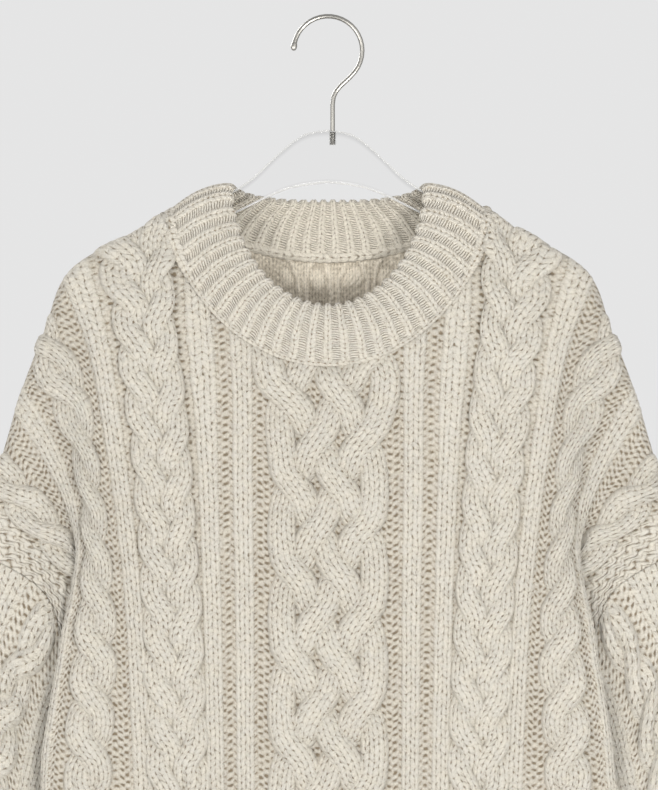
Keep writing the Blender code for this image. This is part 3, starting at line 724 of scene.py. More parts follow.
def wrong_side_lift(wale, down):
    """Cables from behind: ladders between two bars, round knots beside them, rough ground."""
    look = WRONG_SIDE
    wale = wale + 2.4 * wobble(wale * 0.11, down * 0.5, 41)
    down = down + 0.6 * wobble(wale * 0.12, down * 0.4, 42)
    cell = np.floor(down / look["rows"])
    up = fraction(down / look["rows"]) - 0.5
    along = (wale - look["ladder_at"]) / look["width"] + 0.5 * cell
    across = np.abs(fraction(along + 0.5) - 0.5) * look["width"]
    # The bars of a ladder are closest in its middle and part towards its ends
    spread = look["bar_from_middle"] + 12.0 * np.maximum(2 * np.abs(up) - 0.2, 0) ** 1.5
    bar_height = look["bar_height"] + 0.5 * np.cos(2 * math.pi * 1.4 * down)
    bars = bar_height * ridge(across - spread, look["bar_half"])
    rungs = look["rung_height"] * ridge(fraction(down * 1.2) - 0.5, 0.3) * (across < spread)
    knot_up = up * look["rows"] + look["knot_over"]
    from_knot = np.hypot((look["width"] / 2 - across) / look["knot_half"],
                         knot_up / look["knot_half_rows"])
    yarns = np.cos(2 * math.pi * (along * look["width"] + 4.5 * knot_up) / look["yarn"])
    knots = (look["knot_height"] + 0.8 * yarns) * ridge(from_knot, 1.0)
    ground = look["ground_height"] * purl_height(wale / look["ground_stitch"], down)
    cabled = ease(look["from"], look["full_from"], wale)
    lift = np.maximum(np.maximum(bars, knots), np.maximum(rungs, 0.7 * ground))
    return ground + (lift - ground) * cabled + 0.4 * wobble(wale * 0.14, down * 0.7, 15)


def inner_side(form, name, material):
    """The panel's wrong side, a wall behind its face, finer where the neck shows it."""
    fine = form.side > 0
    half = SHOWN_WALE if fine else 0
    outer = np.arange(half, SEAM_WALE + 1, HIDDEN_PITCH)
    middle = np.arange(-half + SHOWN_PITCH, half, SHOWN_PITCH)
    wale = np.unique(np.concatenate([-outer, middle, outer]))[:, None]
    top = form.top_at(wale)
    low = np.arange(0, SHOWN_ROW, HIDDEN_ROW_STEP if fine else FRONT_ROW_STEP)
    high = np.arange(SHOWN_ROW, top.max() + 1, SHOWN_ROW_STEP if fine else FRONT_ROW_STEP)
    rows = np.concatenate([low, high])[None, :]
    row = np.minimum(rows, top)
    shown = ease(SHOWN_ROW - 2, SHOWN_ROW + 2, row)
    lift = 0.0 * row
    if fine:
        lift = wrong_side_lift(wale, form.top_at(0.0) - row)
        lift = np.clip(lift, 0, INNER_LIFT) * ease(0, 1.0, top - row) * shown
    points = form.at(wale, row, -WALL - lift)
    keep_apart(points, form.side)
    # Below nought the recess marks the wrong side, which gets painted light; counted down from -1 it
    # paints shade into the low places between the cables from behind
    recess = -1 - 2.1 * ease(2.0, 0.3, lift) * shown
    patch = Patchwork().add(points, (wale / INNER_STITCH, row), (0.5, 0.2, 0.0), recess,
                            flip=form.side < 0, keep=below_top(rows, top))
    return patch.build(name, material, "wool_cream")


# ---- ribs

def rib_relief(x, y):
    """Height of a rib of one knit and one purl column; x counts columns."""
    turn = fraction(x / 2) * 2
    knit = ease(-0.12, 0.16, turn) * ease(1.12, 0.84, turn) + ease(1.88, 2.16, turn)
    height = -1.5 + 1.7 * knit
    height = height + knit * knit_height(x, y) + (1 - knit) * 0.4 * purl_height(x, y)
    return height, knit


def rib_place(x):
    """Where a rib's columns lie: the knit ones are the wider, the purl ones draw in."""
    pair = np.floor(x / 2)
    return 2 * pair + np.interp(x - 2 * pair, (0, 1, 2), (0, 2 * KNIT_SHARE, 2))


def rib_samples(count):
    """Samples across a number of rib columns, alternately knit and purl."""
    values = []
    for k in range(count):
        used = RIB_PURL_SPOTS if k % 2 else RIB_KNIT_SPOTS
        values += [k + spot for spot in used]
    return np.array(values)


def rib_band(name, material, place, x, length, flip, closed, per_row, fade=None):
    """A ribbed band. place(share) gives its smooth face and the way out at a share of its length."""
    share = np.linspace(0, 1, int(length / RIB_ROW * per_row) + 1)
    face, outward = place(share)
    x = x[:, None]
    y = share * length / RIB_ROW + 0.1 * wobble(x * 0.5, share * 6, 9)
    height, knit = rib_relief(x, y)
    if fade:
        height = height * fade(share)
    points = face + outward * height[..., None]
    # Painted shade, faint, in the purl valleys; the half that turns inside gets the wrong side's
    # painted light
    inner = ease(0.5, 0.6, share)
    recess = 0.02 * (1 - knit) * (1 - 2 * inner) - inner
    patch = Patchwork().add(points, (x, y), (knit, 1 - knit, 0.0), recess, flip, closed)
    return patch.build(name, material, "wool_rib")


def folded(share, deep):
    """Way down and angle turned in a band that goes down, round its edge and up inside."""
    at = share * folded_length(deep)
    bend = math.pi * WALL / 2
    down = np.clip(at, 0, deep) - np.clip(at - deep - bend, 0, deep)
    return down, np.clip((at - deep) / bend, 0, 1) * math.pi


def folded_length(deep):
    return deep * 2 + math.pi * WALL / 2


def turned(middle, outward, onward, angle):
    """Face of a wall and its way out, turned by angles from outward to onward."""
    outward = outward[:, None]
    facing = outward * np.cos(angle)[:, None] + onward * np.sin(angle)[:, None]
    return middle + outward * (np.cos(angle) * WALL / 2)[:, None], facing


def neck_ring():
    """The neck edge once round in even steps, front first, its corners eased, and its length."""
    cuts, steps, reach = 801, 2001, 24
    wales = np.linspace(-NECK_WALE, NECK_WALE, cuts)
    front, back = (panel(side, wales, np.array([0.0]))[:, 0] for side in (-1, 1))
    ring = np.concatenate([front[:-1], back[:0:-1], front[:1]])
    even = resample(ring, steps)[:-1]
    window = np.hanning(2 * reach + 1)
    window = window / window.sum()
    padded = np.concatenate([even[-reach:], even, even[:reach]])
    eased = np.stack([np.convolve(padded[:, k], window, mode="valid") for k in range(3)], axis=1)
    return np.concatenate([eased, eased[:1]]), way_along(ring)[-1]


NECK_RING, AROUND_NECK = neck_ring()


def neck_at(share):
    """Points of the neck's edge at shares of the way round it."""
    count = len(NECK_RING)
    return points_at(np.asarray(share, float) * (count - 1), np.arange(count), NECK_RING)


def collar_top(base):
    """Points of the collar's top over those of its seam."""
    turn = np.clip(base[:, 0] / NECK_HALF, -1, 1)
    reach = np.sqrt(1 - turn**2)
    plan_reach = (1 - turn**2) ** COLLAR_PLAN_POWER
    blend = ease(-6, 6, base[:, 1])
    drop = COLLAR_FRONT_DROP + (COLLAR_BACK_DROP - COLLAR_FRONT_DROP) * blend
    depth = -COLLAR_FRONT_DEPTH + (COLLAR_BACK_DEPTH + COLLAR_FRONT_DEPTH) * blend
    return np.stack([COLLAR_HALF * turn, depth * plan_reach, COLLAR_SIDE_Z - drop * reach], axis=1)


# Share of the way up the band and millimetres out from its middle, round its double fold
COLLAR_SECTION = np.array((
    (-0.065, 3.0), (-0.045, 4.7), (0.0, 5.2), (0.1, 4.7), (0.3, 4.2), (0.6, 4.0), (0.84, 3.8),
    (0.95, 3.0), (1.0, 1.3), (1.015, -0.6), (0.985, -2.6), (0.9, -3.8), (0.75, -4.0),
    (0.5, -4.0), (0.25, -4.0), (0.02, -3.6),
))
COLLAR_HEIGHT = 55      # of the band, to measure the way round its section


def make_collar(material):
    """Double rib band round the neck, from its seam over the rolled top and down inside."""
    ribs = int(AROUND_NECK / RIB_REPEAT)
    x = rib_samples(2 * ribs)
    base = neck_at(rib_place(x) / (2 * ribs))
    rise = collar_top(base) - base
    way = unit(rise)
    outward = base * COLLAR_OUTWARD + np.array([0.0, 0.0, COLLAR_LIFT])
    outward = unit(outward - way * np.sum(outward * way, axis=1, keepdims=True))
    along = np.roll(base, -1, axis=0) - np.roll(base, 1, axis=0)
    up_step, out_step = np.diff(COLLAR_SECTION, axis=0).T
    knots = np.concatenate([[0], np.cumsum(np.hypot(up_step * COLLAR_HEIGHT, out_step))])

    def place(share):
        spot = smooth(knots, COLLAR_SECTION, share * knots[-1])
        swell = COLLAR_SWELL * np.sin(math.pi * np.clip(spot[:, 0], 0, 1)) - COLLAR_WALL / 2
        face = base[:, None] + rise[:, None] * spot[:, :1]
        face = face + outward[:, None] * (spot[:, 1] + swell)[:, None]
        slope = np.gradient(spot, axis=0)
        tangent = rise[:, None] * slope[:, :1] + outward[:, None] * slope[:, 1:]
        return face, unit(np.cross(along[:, None], tangent))

    def fade(share):
        return ease(0, 0.05, share) * ease(1, 0.95, share) * 0.9 + 0.1

    return rib_band("collar", material, place, x, knots[-1], flip=False, closed=True, per_row=3,
                    fade=fade)


def make_hem(form, name, material):
    """Ribbed hem: down its outside, round its lower edge and up inside."""
    ribs = int(SEAM_WALE * 2 / RIB_REPEAT * HEM_RIBS)
    last = 2 * ribs + 1
    x = np.append(rib_samples(last), last)
    wale = (rib_place(x) / rib_place(x[-1]) * 2 - 1) * SEAM_WALE
    low = np.zeros_like(wale)
    line = form.at(wale, low, low)
    outward = unit(form.look_up(form.normals, wale, low) * FLAT)
    deep = HEM_Z - HEM_BOTTOM_Z - HEM_TURN

    def place(share):
        down, angle = folded(share, deep)
        pull = 1 - (1 - HEM_PULL) * ease(0, 1, down / deep)
        middle = line[:, None] * np.stack([pull, pull, np.ones_like(pull)], axis=-1)
        middle = middle - outward[:, None] * WALL / 2
        middle[..., 2] = HEM_Z - SEAM_GAP - down - np.sin(angle) * WALL / 2
        face, facing = turned(middle, outward, np.array([0.0, 0.0, -1.0]), angle)
        keep_apart(face, form.side)
        return face, facing

    def fade(share):
        return ease(0, 0.04, share) * 0.8 + 0.2

    return rib_band(name, material, place, x, folded_length(deep), flip=form.side < 0,
                    closed=False, per_row=2, fade=fade)


# ---- sleeves

def sleeve_rings(count):
    """Rings of points round the sleeve, front half first, from the armhole to the cuff."""
    cuts = 121
    index = np.linspace(0, len(ARMHOLE_FALLS) - 1, cuts)
    falls = np.interp(index, np.arange(len(ARMHOLE_FALLS)), ARMHOLE_FALLS)
    away = np.array([0.5, 0.0, -0.4])
    lines = [[panel(side, np.array([SEAM_WALE]), falls)[0] + away for side in (-1, 1)]]
    turn = np.linspace(0, math.pi, cuts)[:, None]
    for row in SLEEVE_RINGS:
        outer, inner = (np.array([row[end][0], 0.0, row[end][1]]) for end in ("outer", "inner"))
        flat = (outer + inner) / 2 + np.cos(turn) * (outer - inner) / 2
        deep = np.sin(turn) * np.array([0.0, row["half"], 0.0])
        lines.append([flat - deep, flat + deep])
    rings = []
    for front, back in lines:
        rings.append(np.concatenate([resample(front, count)[:-1], resample(back, count)[:0:-1]]))
    return np.array(rings)


SLEEVE_ROUND = 300.0    # distance round a sleeve, as its creases are counted


class SleeveForm(Form):
    """A sleeve's tube, looked up by share of the way round and share of its length."""

    HALF_COLUMNS = 64
    RINGS = 121

    def __init__(self, hand):
        self.hand = hand
        rings = sleeve_rings(self.HALF_COLUMNS + 1)
        knots = way_along(rings.mean(axis=1))
        self.length = knots[-1]
        down = np.linspace(0, self.length, self.RINGS)
        self.points = smooth(knots, rings, down) * np.array([hand, 1.0, 1.0])
        around = np.linspace(0, SLEEVE_ROUND, self.points.shape[1], endpoint=False)
        self.crease(crease_lift(SLEEVE_CREASES[hand], around, down[:, None]))

    def facing(self):
        around = np.roll(self.points, -1, axis=1) - np.roll(self.points, 1, axis=1)
        down = np.gradient(self.points, axis=0)
        facing = unit(np.cross(around, down))
        centre = self.points.mean(axis=1, keepdims=True)
        return facing * np.sign(np.sum(facing * (self.points - centre)))

    def look_up(self, table, turn, share):
        i = fraction(turn) * table.shape[1]
        j = np.clip(share * (table.shape[0] - 1), 0, table.shape[0] - 1.001)
        return between(table.swapaxes(0, 1), i, j)


def make_sleeve(form, name, material):
    """Sleeve ground with its bands of knit, without the cables down its front and back."""
    x = np.array([n + spot for n in range(SLEEVE_STITCHES) for spot in SLEEVE_SPOTS])[:, None]
    level, shares = column_shares(SLEEVE_COLUMNS, np.minimum(x, SLEEVE_STITCHES - x), SLEEVE_CHANGE)
    rows = form.length / ROW
    row = np.linspace(0, rows, int(rows * SLEEVE_PER_ROW) + 1)[None, :]
    y = rows - row + 0.12 * wobble(x * 0.3, row * 0.3, 21)
    y = y + shares["purl"] * column_shift(x)
    relief = level + stitch_relief(shares, x, y)
    edge = ease(0, 1.4, row) * ease(0, 1.0, rows - row)
    relief = SLEEVE_SINK + (relief - SLEEVE_SINK) * edge
    points = form.at(x / SLEEVE_STITCHES, row / rows, relief)
    # Painted shade: the deeper the ground lies, the darker the material paints it
    patch = Patchwork().add(points, (x, y), shares.values(), ease(-1.0, -3.0, level),
                            flip=form.hand > 0, closed=True)
    return patch.build(name, material, "wool_cream")


def add_sleeve_strand(patch, form, middle, place, lift):
    """One strand of a sleeve's cable, laid out in millimetres round its middle column."""
    rows = form.length / ROW
    row = np.linspace(0.2, rows - 0.3, int(rows * SLEEVE_PER_ROW))
    share = row / rows
    step = row / ROPE_B["step"] + 0.5
    offset = strand_path(place, step, ROPE_B["swing"])
    rise = smooth(np.arange(len(lift)) + 0.5, lift, step)
    half = 1.5
    near, far = (form.at((middle + side) / SLEEVE_STITCHES, share, 0.0) for side in (-half, half))
    stitch = np.linalg.norm(far - near, axis=-1) / (2 * half)
    lean = LEAN * np.arctan(np.gradient(offset, row * ROW))
    x = np.linspace(0, 2, SLEEVE_STRAND_SAMPLES)[:, None]
    u = x - 1
    reach = ROPE_B["width"] / 2 / np.cos(lean / LEAN - lean)
    turn = middle + (offset + u * reach * np.cos(lean)) / stitch
    down = row - u * reach * np.sin(lean) / ROW
    dome = strand_dome(u, ROPE_B["square"])
    y = rows - row + 0.0 * u
    edge = ease(0.0, 2.0, down) * ease(0.0, 1.5, rows - down)
    bulge = STRAND_TOP + rise - STRAND_FLOOR
    height = (bulge + RELIEF["knit"] * knit_height(x, y)) * dome * (0.3 + 0.7 * edge)
    points = form.at(turn / SLEEVE_STITCHES, np.clip(down / rows, 0, 1), STRAND_FLOOR + height)
    # Painted shade towards the strand's edges
    patch.add(points, (x, y), (1.0, 0.0, 0.0), (1 - dome) ** 1.5, flip=form.hand > 0)


def make_sleeve_cables(form, name, material):
    """The cables down the sleeve's front and back."""
    patch = Patchwork()
    steps = math.ceil(form.length / ROW / ROPE_B["step"]) + 2
    for half, middle in enumerate((SLEEVE_CABLE_AT, SLEEVE_STITCHES - SLEEVE_CABLE_AT)):
        places, lifts = weave(ROPE_B, form.hand * (1 - 2 * half) < 0, steps, 31 + half)
        for place, lift in zip(places, lifts):
            add_sleeve_strand(patch, form, middle, place, lift)
    return patch.build(name, material, "wool_cream")


CUFF_RING = -25         # the cuff points away from this ring of the sleeve


def make_cuff(form, name, material):
    """Ribbed cuff: a narrower tube below the sleeve, turned in at its end."""
    middle = form.points[-1].mean(axis=0)
    down = unit(middle - form.points[CUFF_RING].mean(axis=0))
    x = rib_samples(2 * CUFF_RIBS)
    turn = rib_place(x) / (2 * CUFF_RIBS)
    ring = form.look_up(form.points, turn, np.ones_like(turn))
    outward = ring - middle
    sloping = down * np.sum(outward * down, axis=-1, keepdims=True)
    outward = unit(outward * np.array([0.35, 1.0, 0.35]) - sloping)

    def place(share):
        along, angle = folded(share, CUFF_LENGTH)
        pull = 1 - (1 - CUFF_PULL) * ease(0, 0.6, along / CUFF_LENGTH)
        core = middle + (ring - middle)[:, None] * pull[:, None] - outward[:, None] * WALL / 2
        core = core + down * (along + SEAM_GAP + np.sin(angle) * WALL / 2 - CUFF_TUCK)[:, None]
        return turned(core, outward, down, angle)

    return rib_band(name, material, place, x, folded_length(CUFF_LENGTH), flip=form.hand > 0,
                    closed=True, per_row=2)


# ---- seams

CHAIN_SIDES = 12
CHAIN_SQUASH = 0.75     # its height to its breadth


def make_chain(name, line, radius, bead, material, recess):
    """A sewn ridge: a thin cord whose thickness beads along its length."""
    knots = way_along(line)
    at = np.linspace(0, knots[-1], int(knots[-1] / bead * 6))
    radius = np.interp(at, knots, np.broadcast_to(radius, knots.shape))
    middle = points_at(at, knots, line)
    ahead = unit(np.gradient(middle, axis=0))
    aside = unit(np.cross(ahead, np.array([0.0, 1.0, 0.0])))
    lift = np.cross(aside, ahead)
    turn = np.linspace(0, 2 * math.pi, CHAIN_SIDES, endpoint=False)[:, None]
    ends = ease(0, bead, at) * ease(0, bead, knots[-1] - at)
    swell = radius * (0.8 + 0.2 * np.abs(np.sin(math.pi * at / bead))) * (0.2 + 0.8 * ends)
    points = middle[None] + aside[None] * (np.cos(turn) * swell)[..., None]
    points = points + lift[None] * (np.sin(turn) * swell * CHAIN_SQUASH)[..., None]
    patch = Patchwork().add(points, (turn / math.pi, at / bead), (1.0, 0.0, 0.0), recess,
                            flip=False, closed=True)
    return patch.build(name, material, "wool_rib")


def neck_seam(share, out_by, up_by):
    """A line along the neck's edge, moved outward and up."""
    ring = neck_at(share)
    return ring + unit(ring * FLAT) * out_by + np.array([0.0, 0.0, up_by])


# ---- materials

class Value:
    """A value in a material; arithmetic with it adds Math nodes."""

    def __init__(self, net, socket):
        self.net = net
        self.socket = socket

    def __add__(self, other):
        return self.net.math("ADD", self, other)

    def __sub__(self, other):
        return self.net.math("SUBTRACT", self, other)

    def __rsub__(self, other):
        return self.net.math("SUBTRACT", other, self)

    def __mul__(self, other):
        return self.net.math("MULTIPLY", self, other)

    def __pow__(self, other):
        return self.net.math("POWER", self, other)

    def __abs__(self):
        return self.net.math("ABSOLUTE", self)

    def floor(self):
        return self.net.math("FLOOR", self)

    def fract(self):
        return self.net.math("FRACT", self)

    def larger(self, other, clamp=False):
        return self.net.math("MAXIMUM", self, other, clamp=clamp)

    def wave(self, kind, angle=math.pi):
        """Its sine or cosine, where 1 stands for an angle."""
        return self.net.math(kind, self * angle)

    def tent(self):
        """1 at 0 and at 1, and 0 halfway between them."""
        return abs(self * 2.0 - 1.0)

    def ramp(self, low, high):
        """Smoothly from 0 at low to 1 at high."""
        inputs = {"Value": self, "From Min": low, "From Max": high}
        settings = {"interpolation_type": "SMOOTHSTEP"}
        return self.net.values("ShaderNodeMapRange", inputs, **settings)["Result"]


class Net:
    """A new material and its nodes."""

    def __init__(self, name):
        self.material = bpy.data.materials.new(name)
        self.material.use_nodes = True
        self.nodes = self.material.node_tree.nodes
        self.links = self.material.node_tree.links
        self.shader = self.nodes["Principled BSDF"]

    def node(self, kind, inputs=None, **settings):
        node = self.nodes.new(kind)
        for key, value in settings.items():
            setattr(node, key, value)
        for key, value in (inputs or {}).items():
            self.feed(node.inputs[key], value)
        return node

    def values(self, kind, inputs=None, **settings):
        """The outputs of a new node, by name."""
        outputs = self.node(kind, inputs, **settings).outputs
        return {socket.name: Value(self, socket) for socket in outputs if socket.enabled}

    def feed(self, socket, value):
        if isinstance(value, Value):
            self.links.new(value.socket, socket)
        else:
            socket.default_value = value

    def shade(self, inputs):
        for key, value in inputs.items():
            self.feed(self.shader.inputs[key], value)

    def bump(self, height, strength, distance):
        inputs = {"Height": height, "Strength": strength, "Distance": distance}
        self.shade({"Normal": self.values("ShaderNodeBump", inputs)["Normal"]})

    def spot(self):
        return self.values("ShaderNodeTexCoord")["Object"]

    def split(self, vector):
        return self.values("ShaderNodeSeparateXYZ", {"Vector": vector})

    def join(self, x, y, z=0.0):
        return self.values("ShaderNodeCombineXYZ", {"X": x, "Y": y, "Z": z})["Vector"]

    def attribute(self, name):
        settings = {"attribute_name": name, "attribute_type": "GEOMETRY"}
        return self.values("ShaderNodeAttribute", **settings)

    def noise(self, vector, scale, detail, roughness=0.5):
        inputs = {"Vector": vector, "Scale": scale, "Detail": detail, "Roughness": roughness}
        return self.values("ShaderNodeTexNoise", inputs)

    def math(self, operation, *values, clamp=False):
        node = self.node("ShaderNodeMath", operation=operation, use_clamp=clamp)
        for socket, value in zip(node.inputs, values):
            self.feed(socket, value)
        return Value(self, node.outputs[0])

    def colours(self, factor, low, high):
        inputs = {"Factor": factor, "A": low, "B": high}
        return self.values("ShaderNodeMix", inputs, data_type="RGBA")["Result"]


def knit_pattern(net, x, y):
    """Slanting legs of twisted yarn, with a slit where legs and rows meet: height, and the painted
    shade of the slit and of the gaps between plies.
    """
    aside = x.fract().tent()
    from_leg = aside.tent()
    leg = 1.0 - from_leg ** 2.5
    from_middle = (y + aside * -0.5).fract().tent()
    bead = 1.0 - from_middle ** 3.0
    ply = aside + y * -0.8
    twist = net.join(ply * 5.0, y * 1.6, (x * 2.0).floor() * 3.7)
    strands = net.noise(twist, 1.0, 2.0)["Fac"]
    height = (leg * 0.5 + 0.5) * (bead * 0.5 + 0.5) + (strands - 0.5) * 0.8
    slit = from_leg.ramp(0.66, 0.98) * from_middle.ramp(0.4, 0.92)
    return height, slit + strands.ramp(0.52, 0.3) * 0.3


def purl_pattern(net, x, y):
    """Interlocked bumps with painted shade in the corners between them: height, hole."""
    bump = x.wave("COSINE", 2 * math.pi) * y.wave("COSINE", 2 * math.pi) * -0.5 + 0.5
    return bump ** 0.6, (1.0 - bump) ** 3.5


def moss_pattern(net, x, y):
    """Short bars that slant to and fro, with a hole on every other stitch: height, and the painted
    shade between the bars and in the holes.
    """
    bump = x.wave("COSINE") * y.wave("COSINE") * 0.5 + 0.5
    slant = (y * 0.5).fract().tent()
    bar = (x + slant * 0.9).fract().wave("SINE")
    hole = (1.0 - bar) ** 2.0 * 0.4 + (1.0 - bump) ** 5.0 * 0.8
    return bar ** 0.7 * 0.6 + bump * 0.4, hole


def tick_pattern(net, x, y):
    """Fine slanting strokes in the valleys of a rib: height, and the painted shade between the
    strokes.
    """
    stroke = (x * 0.6 + y * 2.0).fract().wave("SINE")
    return stroke ** 0.7, (1.0 - stroke) ** 1.8 * 0.6


def knit_material(name, look):
    """Fuzzy wool whose stitches follow the mesh's stitch map, with painted shade in its holes,
    grooves and recesses and painted light on its wrong side.
    """
    net = Net(name)
    place = net.split(net.values("ShaderNodeUVMap", uv_map="stitch")["UV"])
    shares = net.split(net.attribute("kind")["Vector"])
    deep = net.attribute("recess")["Fac"]
    spot = net.spot()

    # Stitches wander a little, so that no two are quite the same
    drift = net.noise(spot, 110.0, 3.0, 0.6)
    wander = net.split(drift["Color"])
    x = place["X"] + (wander["X"] * 0.46 - 0.23)
    y = place["Y"] + (wander["Y"] * 0.9 - 0.45)
    each = net.join((x * 2.0).floor(), y.floor())
    chance = net.values("ShaderNodeTexWhiteNoise", {"Vector": each}, noise_dimensions="2D")["Value"]

    # Each pattern gives a height and how much painted shade its holes get
    (height, hole), *others = [pattern(net, x, y) for pattern in look["patterns"]]
    height = height * shares["X"]
    hole = hole * shares["X"]
    for (bump, gap), axis in zip(others, "YZ"):
        height = height + bump * shares[axis]
        hole = hole + gap * shares[axis]
    hole = hole * (chance * 1.1 + 0.25)

    fibre = net.noise(spot, 1500.0, 3.0, 0.7)["Fac"]
    lock = net.noise(spot, 640.0, 4.0, 0.7)["Fac"]
    patchy = net.noise(spot, 18.0, 2.0)["Fac"]
    relief = height + lock * 0.7 + fibre * 0.25 + hole * -0.4

    # Below nought the recess marks the wrong side, which gets painted light and less painted shade;
    # counted down from -1 it paints shade into the low places
    inner_side = deep.ramp(-0.1, -0.9)
    recess_shade = deep.larger(-1.0 - deep).larger(0.0)
    # Painted shade in the low parts of the stitches, in their holes and in recesses; lock and patchy
    # add the yarn's own uneven tone
    shade = height.ramp(0.85, 0.25) * look["groove"] + hole * look["hole"] + recess_shade * 0.24
    shade = shade + (lock - 0.5) * 1.3 + (patchy - 0.5) * 0.16
    shade = (shade * (inner_side * -look["inner_calm"] + 1.0)).larger(0.0, clamp=True)
    light = net.colours(drift["Fac"].ramp(0.35, 0.65), look["light"], look["light_too"])
    # Painted light: the wrong side is made a shade lighter, to make up for the shade it lies in
    light = net.colours(inner_side, light, look["inner"])

    net.bump(relief, 1.0, look["depth"])
    net.shade({
        "Base Color": net.colours(shade, light, look["dark"]), "Roughness": 0.95,
        "Specular IOR Level": 0.1, "Sheen Weight": 0.3, "Sheen Roughness": 0.6,
        "Sheen Tint": (1.0, 0.96, 0.9, 1.0),
    })
    return net.material


# depth is that of the bump in metres; hole, groove and inner_calm say how much painted shade a hole
# or a groove gets and how much less of it the wrong side gets;
# inner is the wrong side's colour with painted light, dark that of painted shade and of the yarn's
# darker mottling
WOOL_LOOK = {
    "patterns": (knit_pattern, purl_pattern, moss_pattern),
    "depth": 0.0012, "hole": 0.9, "groove": 0.32, "inner_calm": 0.3,
    "light": (0.588, 0.554, 0.481, 1), "light_too": (0.566, 0.541, 0.485, 1),
    "inner": (0.96, 0.88, 0.74, 1), "dark": (0.20, 0.158, 0.105, 1),
}
RIB_LOOK = {
    "patterns": (knit_pattern, tick_pattern, moss_pattern),
    "depth": 0.0013, "hole": 0.78, "groove": 0.42, "inner_calm": 0.15,
    "light": (0.635, 0.597, 0.52, 1), "light_too": (0.615, 0.586, 0.523, 1),
    "inner": (0.78, 0.73, 0.63, 1), "dark": (0.25, 0.195, 0.125, 1),
}


def arch_height(net, across, corners):
    """Height of the plate's arched edge over each distance from its middle, in metres."""
    reach, fall = corners[-1][0], -corners[-1][1]
    node = net.node("ShaderNodeFloatCurve", {"Value": net.math("DIVIDE", across, reach * MM)})
    curve = node.mapping.curves[0]
    curve.points[0].location = (0.0, -corners[0][1] / fall)
    curve.points[1].location = (1.0, 1.0)
    for x, z in corners[1:-1]:
        curve.points.new(x / reach, -z / fall)
    node.mapping.update()
    return Value(net, node.outputs["Value"]) * (-fall * MM)


def acrylic_material():
    """Clear polished acrylic with painted grey shade along its rim and a painted pale highlight line
    at its edge, frosted on its sawn edges.
    """
    net = Net("clear_acrylic_look")
    spot = net.spot()
    place = net.split(spot)
    across = abs(place["X"])
    below_arch = arch_height(net, across, ARCH_TOP) - place["Z"]
    over_arch = place["Z"] - arch_height(net, across, ARCH_BOTTOM)
    # Painted shade: a grey band along the arched edges; line is a painted highlight, a pale, less
    # clear line at the very edge
    rim_shade = below_arch.ramp(0.007, 0.001).larger(over_arch.ramp(0.004, 0.0005))
    line = below_arch.ramp(0.003, 0.001).larger(over_arch.ramp(0.003, 0.001))
    normal = net.split(net.values("ShaderNodeNewGeometry")["Normal"])
    flat = abs(normal["Y"]).ramp(0.5, 0.95)

    net.shade({
        "Base Color": net.colours(flat, (0.5, 0.5, 0.49, 1), (0.95, 0.95, 0.95, 1)),
        "Roughness": net.noise(spot, 90.0, 5.0, 0.7)["Fac"] * 0.04 + 0.05,
        "Transmission Weight": flat * 0.55 + 0.45 + line * -0.8,
        "IOR": 1.2,
    })
    net.bump(net.noise(spot, 14.0, 1.0)["Fac"], 0.25, 0.0006)

    # The see-through part takes the painted grey shade of the rim
    clear = net.node("ShaderNodeBsdfTransparent", {
        "Color": net.colours(rim_shade, (0.99, 0.99, 0.99, 1), (0.88, 0.88, 0.88, 1))})
    mixed = net.node("ShaderNodeMixShader", {"Fac": flat * 0.62 + 0.35 + line * -0.3})
    net.links.new(net.shader.outputs["BSDF"], mixed.inputs[1])
    net.links.new(clear.outputs["BSDF"], mixed.inputs[2])
    net.links.new(mixed.outputs["Shader"], net.nodes["Material Output"].inputs["Surface"])
    return net.material


def steel_material():
    """Satin steel wire with fine grain and faint smears."""
    net = Net("satin_steel_look")
    spot = net.spot()
    grain = net.noise(spot, 900.0, 3.0)["Fac"]
    smears = net.noise(spot, 60.0, 2.0)["Fac"]
    net.shade({
        "Base Color": net.colours(smears, (0.22, 0.215, 0.20, 1), (0.34, 0.33, 0.31, 1)),
        "Metallic": 1.0, "Roughness": grain * 0.2 + 0.2,
    })
    net.bump(grain, 0.3, 0.0001)
    return net.material


# ---- stage

PHOTO_SIZE = (658, 790)
PIXEL = 0.86            # millimetres of the garment's plane to a pixel of the photograph
ORIGIN_PIXEL = (328.0, 17.0)
CAMERA_AWAY = 4.5
SENSOR = 36.0
MID_DEPTH = 0.018       # how far in front of the hook's plane the framing holds
FLOOR_HALF = 4.4
FLOOR_Z = -1.05
ROOM_COLOUR = (0.785, 0.785, 0.786, 1)
LAMP_COLOUR = (1.0, 0.985, 0.955)
# Disk lamps: name, place, what they point at, breadth in metres and power in watts
LAMPS = (
    ("key", (1.3, -2.9, 0.6), (0, 0, -0.4), 1.5, 12.0),
    ("fill", (-1.6, -2.7, -0.2), (0, 0, -0.45), 1.5, 12.0),
    ("low_right", (0.6, -1.9, -0.72), (0.3, 0, -0.78), 0.6, 17.0),
    ("low_left", (-1.2, -2.3, -0.75), (-0.22, 0, -0.6), 0.9, 16.0),
    ("back_key", (-1.4, 2.2, 0.9), (0, 0, -0.35), 1.4, 34.0),
)


def make_camera():
    """Square on to the garment, framed as the photograph is."""
    data = bpy.data.cameras.new("camera")
    camera = link("camera", data)
    x = (PHOTO_SIZE[0] / 2 - ORIGIN_PIXEL[0]) * PIXEL * MM
    z = -(PHOTO_SIZE[1] / 2 - ORIGIN_PIXEL[1]) * PIXEL * MM
    camera.location = (x, -CAMERA_AWAY, z)
    camera.rotation_euler = (math.pi / 2, 0, 0)
    data.sensor_fit = "AUTO"
    data.sensor_width = SENSOR
    data.lens = SENSOR * (CAMERA_AWAY - MID_DEPTH) / (PHOTO_SIZE[1] * PIXEL * MM)
    data.clip_end = 50
    bpy.context.scene.camera = camera


